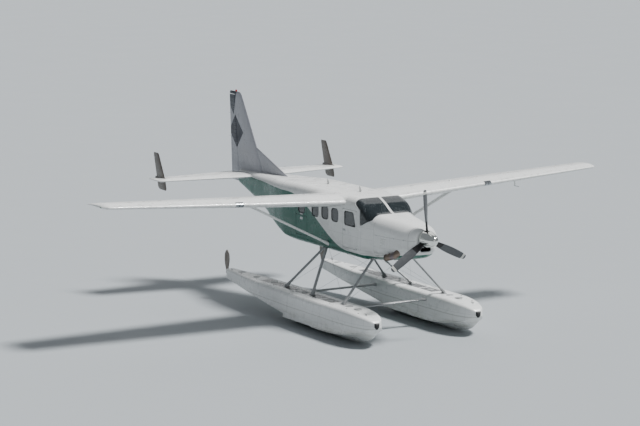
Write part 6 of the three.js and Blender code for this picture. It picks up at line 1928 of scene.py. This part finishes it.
for side_name, side in SIDES:
    on(landing_lamp(f"landing_lamp_{side_name}", side), "window_glass")
    tip_place = wing_point(side, WING_TIP[0] - TIP_LAMP_INWARD, WING_TIP[1] + TIP_LAMP_BACK, 0.0)
    tip_glass = red_glass if side > 0 else green_glass
    on(teardrop(f"tip_lamp_{side_name}", tip_place, TIP_LAMP_SIZE, tip_glass), "window_glass")

    fittings = [turned("cap", wing_face(side, y, 0.3, 1, -0.0015), (0, 0, 1), CAP_PROFILE, handle_metal)
                for y in FUEL_CAPS]
    for y in HINGE_FAIRINGS:
        rings = []
        for share in np.linspace(FAIRING_FIRST, FAIRING_FIRST + FAIRING_LENGTH, 9):
            station, belly = foil_point(wing_section(y), share, -1)
            rise = sin((share - FAIRING_FIRST) / FAIRING_LENGTH * pi * 0.62 + 0.06)
            rings.append([wing_point(side, y + 0.022 * rise * cos(turn), station,
                                     belly + 0.006 - 0.024 * rise * (1 - sin(turn)))
                          for turn in turns(16)])
        fittings.append(lofted("fairing", rings, wing_paint, 40))
    eye = wing_face(side, TIE_DOWN_Y, 0.26, -1)
    ring_path = [eye + Vector((0.022 * sin(turn), 0, 0.024 * cos(turn) - 0.012))
                 for turn in np.linspace(0, 2 * pi, 17)]
    fittings.append(tube("tie_down", ring_path, 0.0035, handle_metal, 8))
    on(joined(f"wing_fittings_{side_name}", fittings), "white_paint")

    for place, y in enumerate(AILERON_WICKS, 1):
        wick(f"aileron_wick_{side_name}_{place}", wing_face(side, y, 1, 1), f"aileron_{side_name}")
    for place, y in enumerate(ELEVATOR_WICKS, 1):
        foot = tail_ring(side * y, [foil_point(tail_section(y), 1, 1)])[0]
        wick(f"elevator_wick_{side_name}_{place}", foot, "elevator")
for place, height in enumerate(RUDDER_WICKS, 1):
    wick(f"rudder_wick_{place}", at(fin_section(height)[1], 0.0, height), "rudder")

mast_top = wing_face(1, PITOT_Y, 0.1, -1, 0.01)
mast_path = [mast_top, mast_top + Vector((0, 0, -0.1)), mast_top + Vector((0.006, 0, -PITOT_DROP))]
mast = fairlead("mast", mast_path, [(0.07, 0.016), (0.055, 0.013), (0.05, 0.012)], wing_paint)
pitot_path = [mast_top + Vector((along, 0, -PITOT_DROP)) for along in (-0.03, 0.02, 0.2, 0.225)]
pitot = tube("pitot", pitot_path, [0.006, 0.011, 0.01, 0.006], handle_metal, 16)
on(joined("pitot_mast", [mast, pitot]), "white_paint")

# Small fittings of the body: blade antennas above and below it, a round antenna on the roof,
# a red beacon on the fin, and the rubber pump-out cups in the decks of the floats.
PATCH_STATION = 4.6
# Blades: station, above (1) or below (-1), height, length
BLADES = [(3.85, 1, 0.15, 0.15), (5.6, 1, 0.15, 0.15), (4.9, -1, 0.13, 0.14)]
PATCH_PROFILE = [(0, 0.05), (0.006, 0.048), (0.012, 0.038), (0.014, 0.015)]
BEACON_PROFILE = [(0, 0.036), (0.02, 0.036), (0.022, 0.031), (0.045, 0.028), (0.06, 0.018), (0.065, 0.006)]
CUP_STATIONS = (0.98, 1.55, 2.42, 3.35, 4.4, 5.55, 6.6, 7.6)
CUP_PROFILE = [(0, 0.022), (0.005, 0.022), (0.007, 0.016), (0.004, 0.012)]
fittings = []
for station, up, tall, long in BLADES:
    _, roof, belly, _, _, _ = eased(BODY_SECTIONS, station)
    root = at(station, 0, (roof if up > 0 else belly) - up * 0.006)
    path = [root + Vector((-aft, 0, up * rise)) for aft, rise in
            ((0, 0), (0.015, 0.02), (0.05, tall * 0.75), (0.065, tall))]
    sizes = [(long, 0.03), (long * 0.85, 0.014), (long * 0.6, 0.011), (long * 0.42, 0.006)]
    fittings.append(fairlead("blade", path, sizes, wing_paint))
patch_foot = at(PATCH_STATION, 0, eased(BODY_SECTIONS, PATCH_STATION)[1] - 0.002)
fittings.append(turned("patch", patch_foot, (0, 0, 1), PATCH_PROFILE, wing_paint, 28))
on(joined("antennas", fittings), "white_paint")
on(turned("beacon", at(11.05, 0, 2.968), (0, 0, 1), BEACON_PROFILE, red_glass, 24), "window_glass")
for side_name, side in SIDES:
    cups = []
    for station in CUP_STATIONS:
        table = FORE_SECTIONS if station < STEP_STATION else AFT_SECTIONS
        _, _, _, deck, _, half_deck = eased(table, station)
        foot = (NOSE - station, side * (FLOAT_Y + half_deck * 0.55), deck - 0.002)
        cups.append(turned("cup", foot, (0, 0, 1), CUP_PROFILE, rubber, 18))
    on(joined(f"pump_cups_{side_name}", cups), "float_paint")
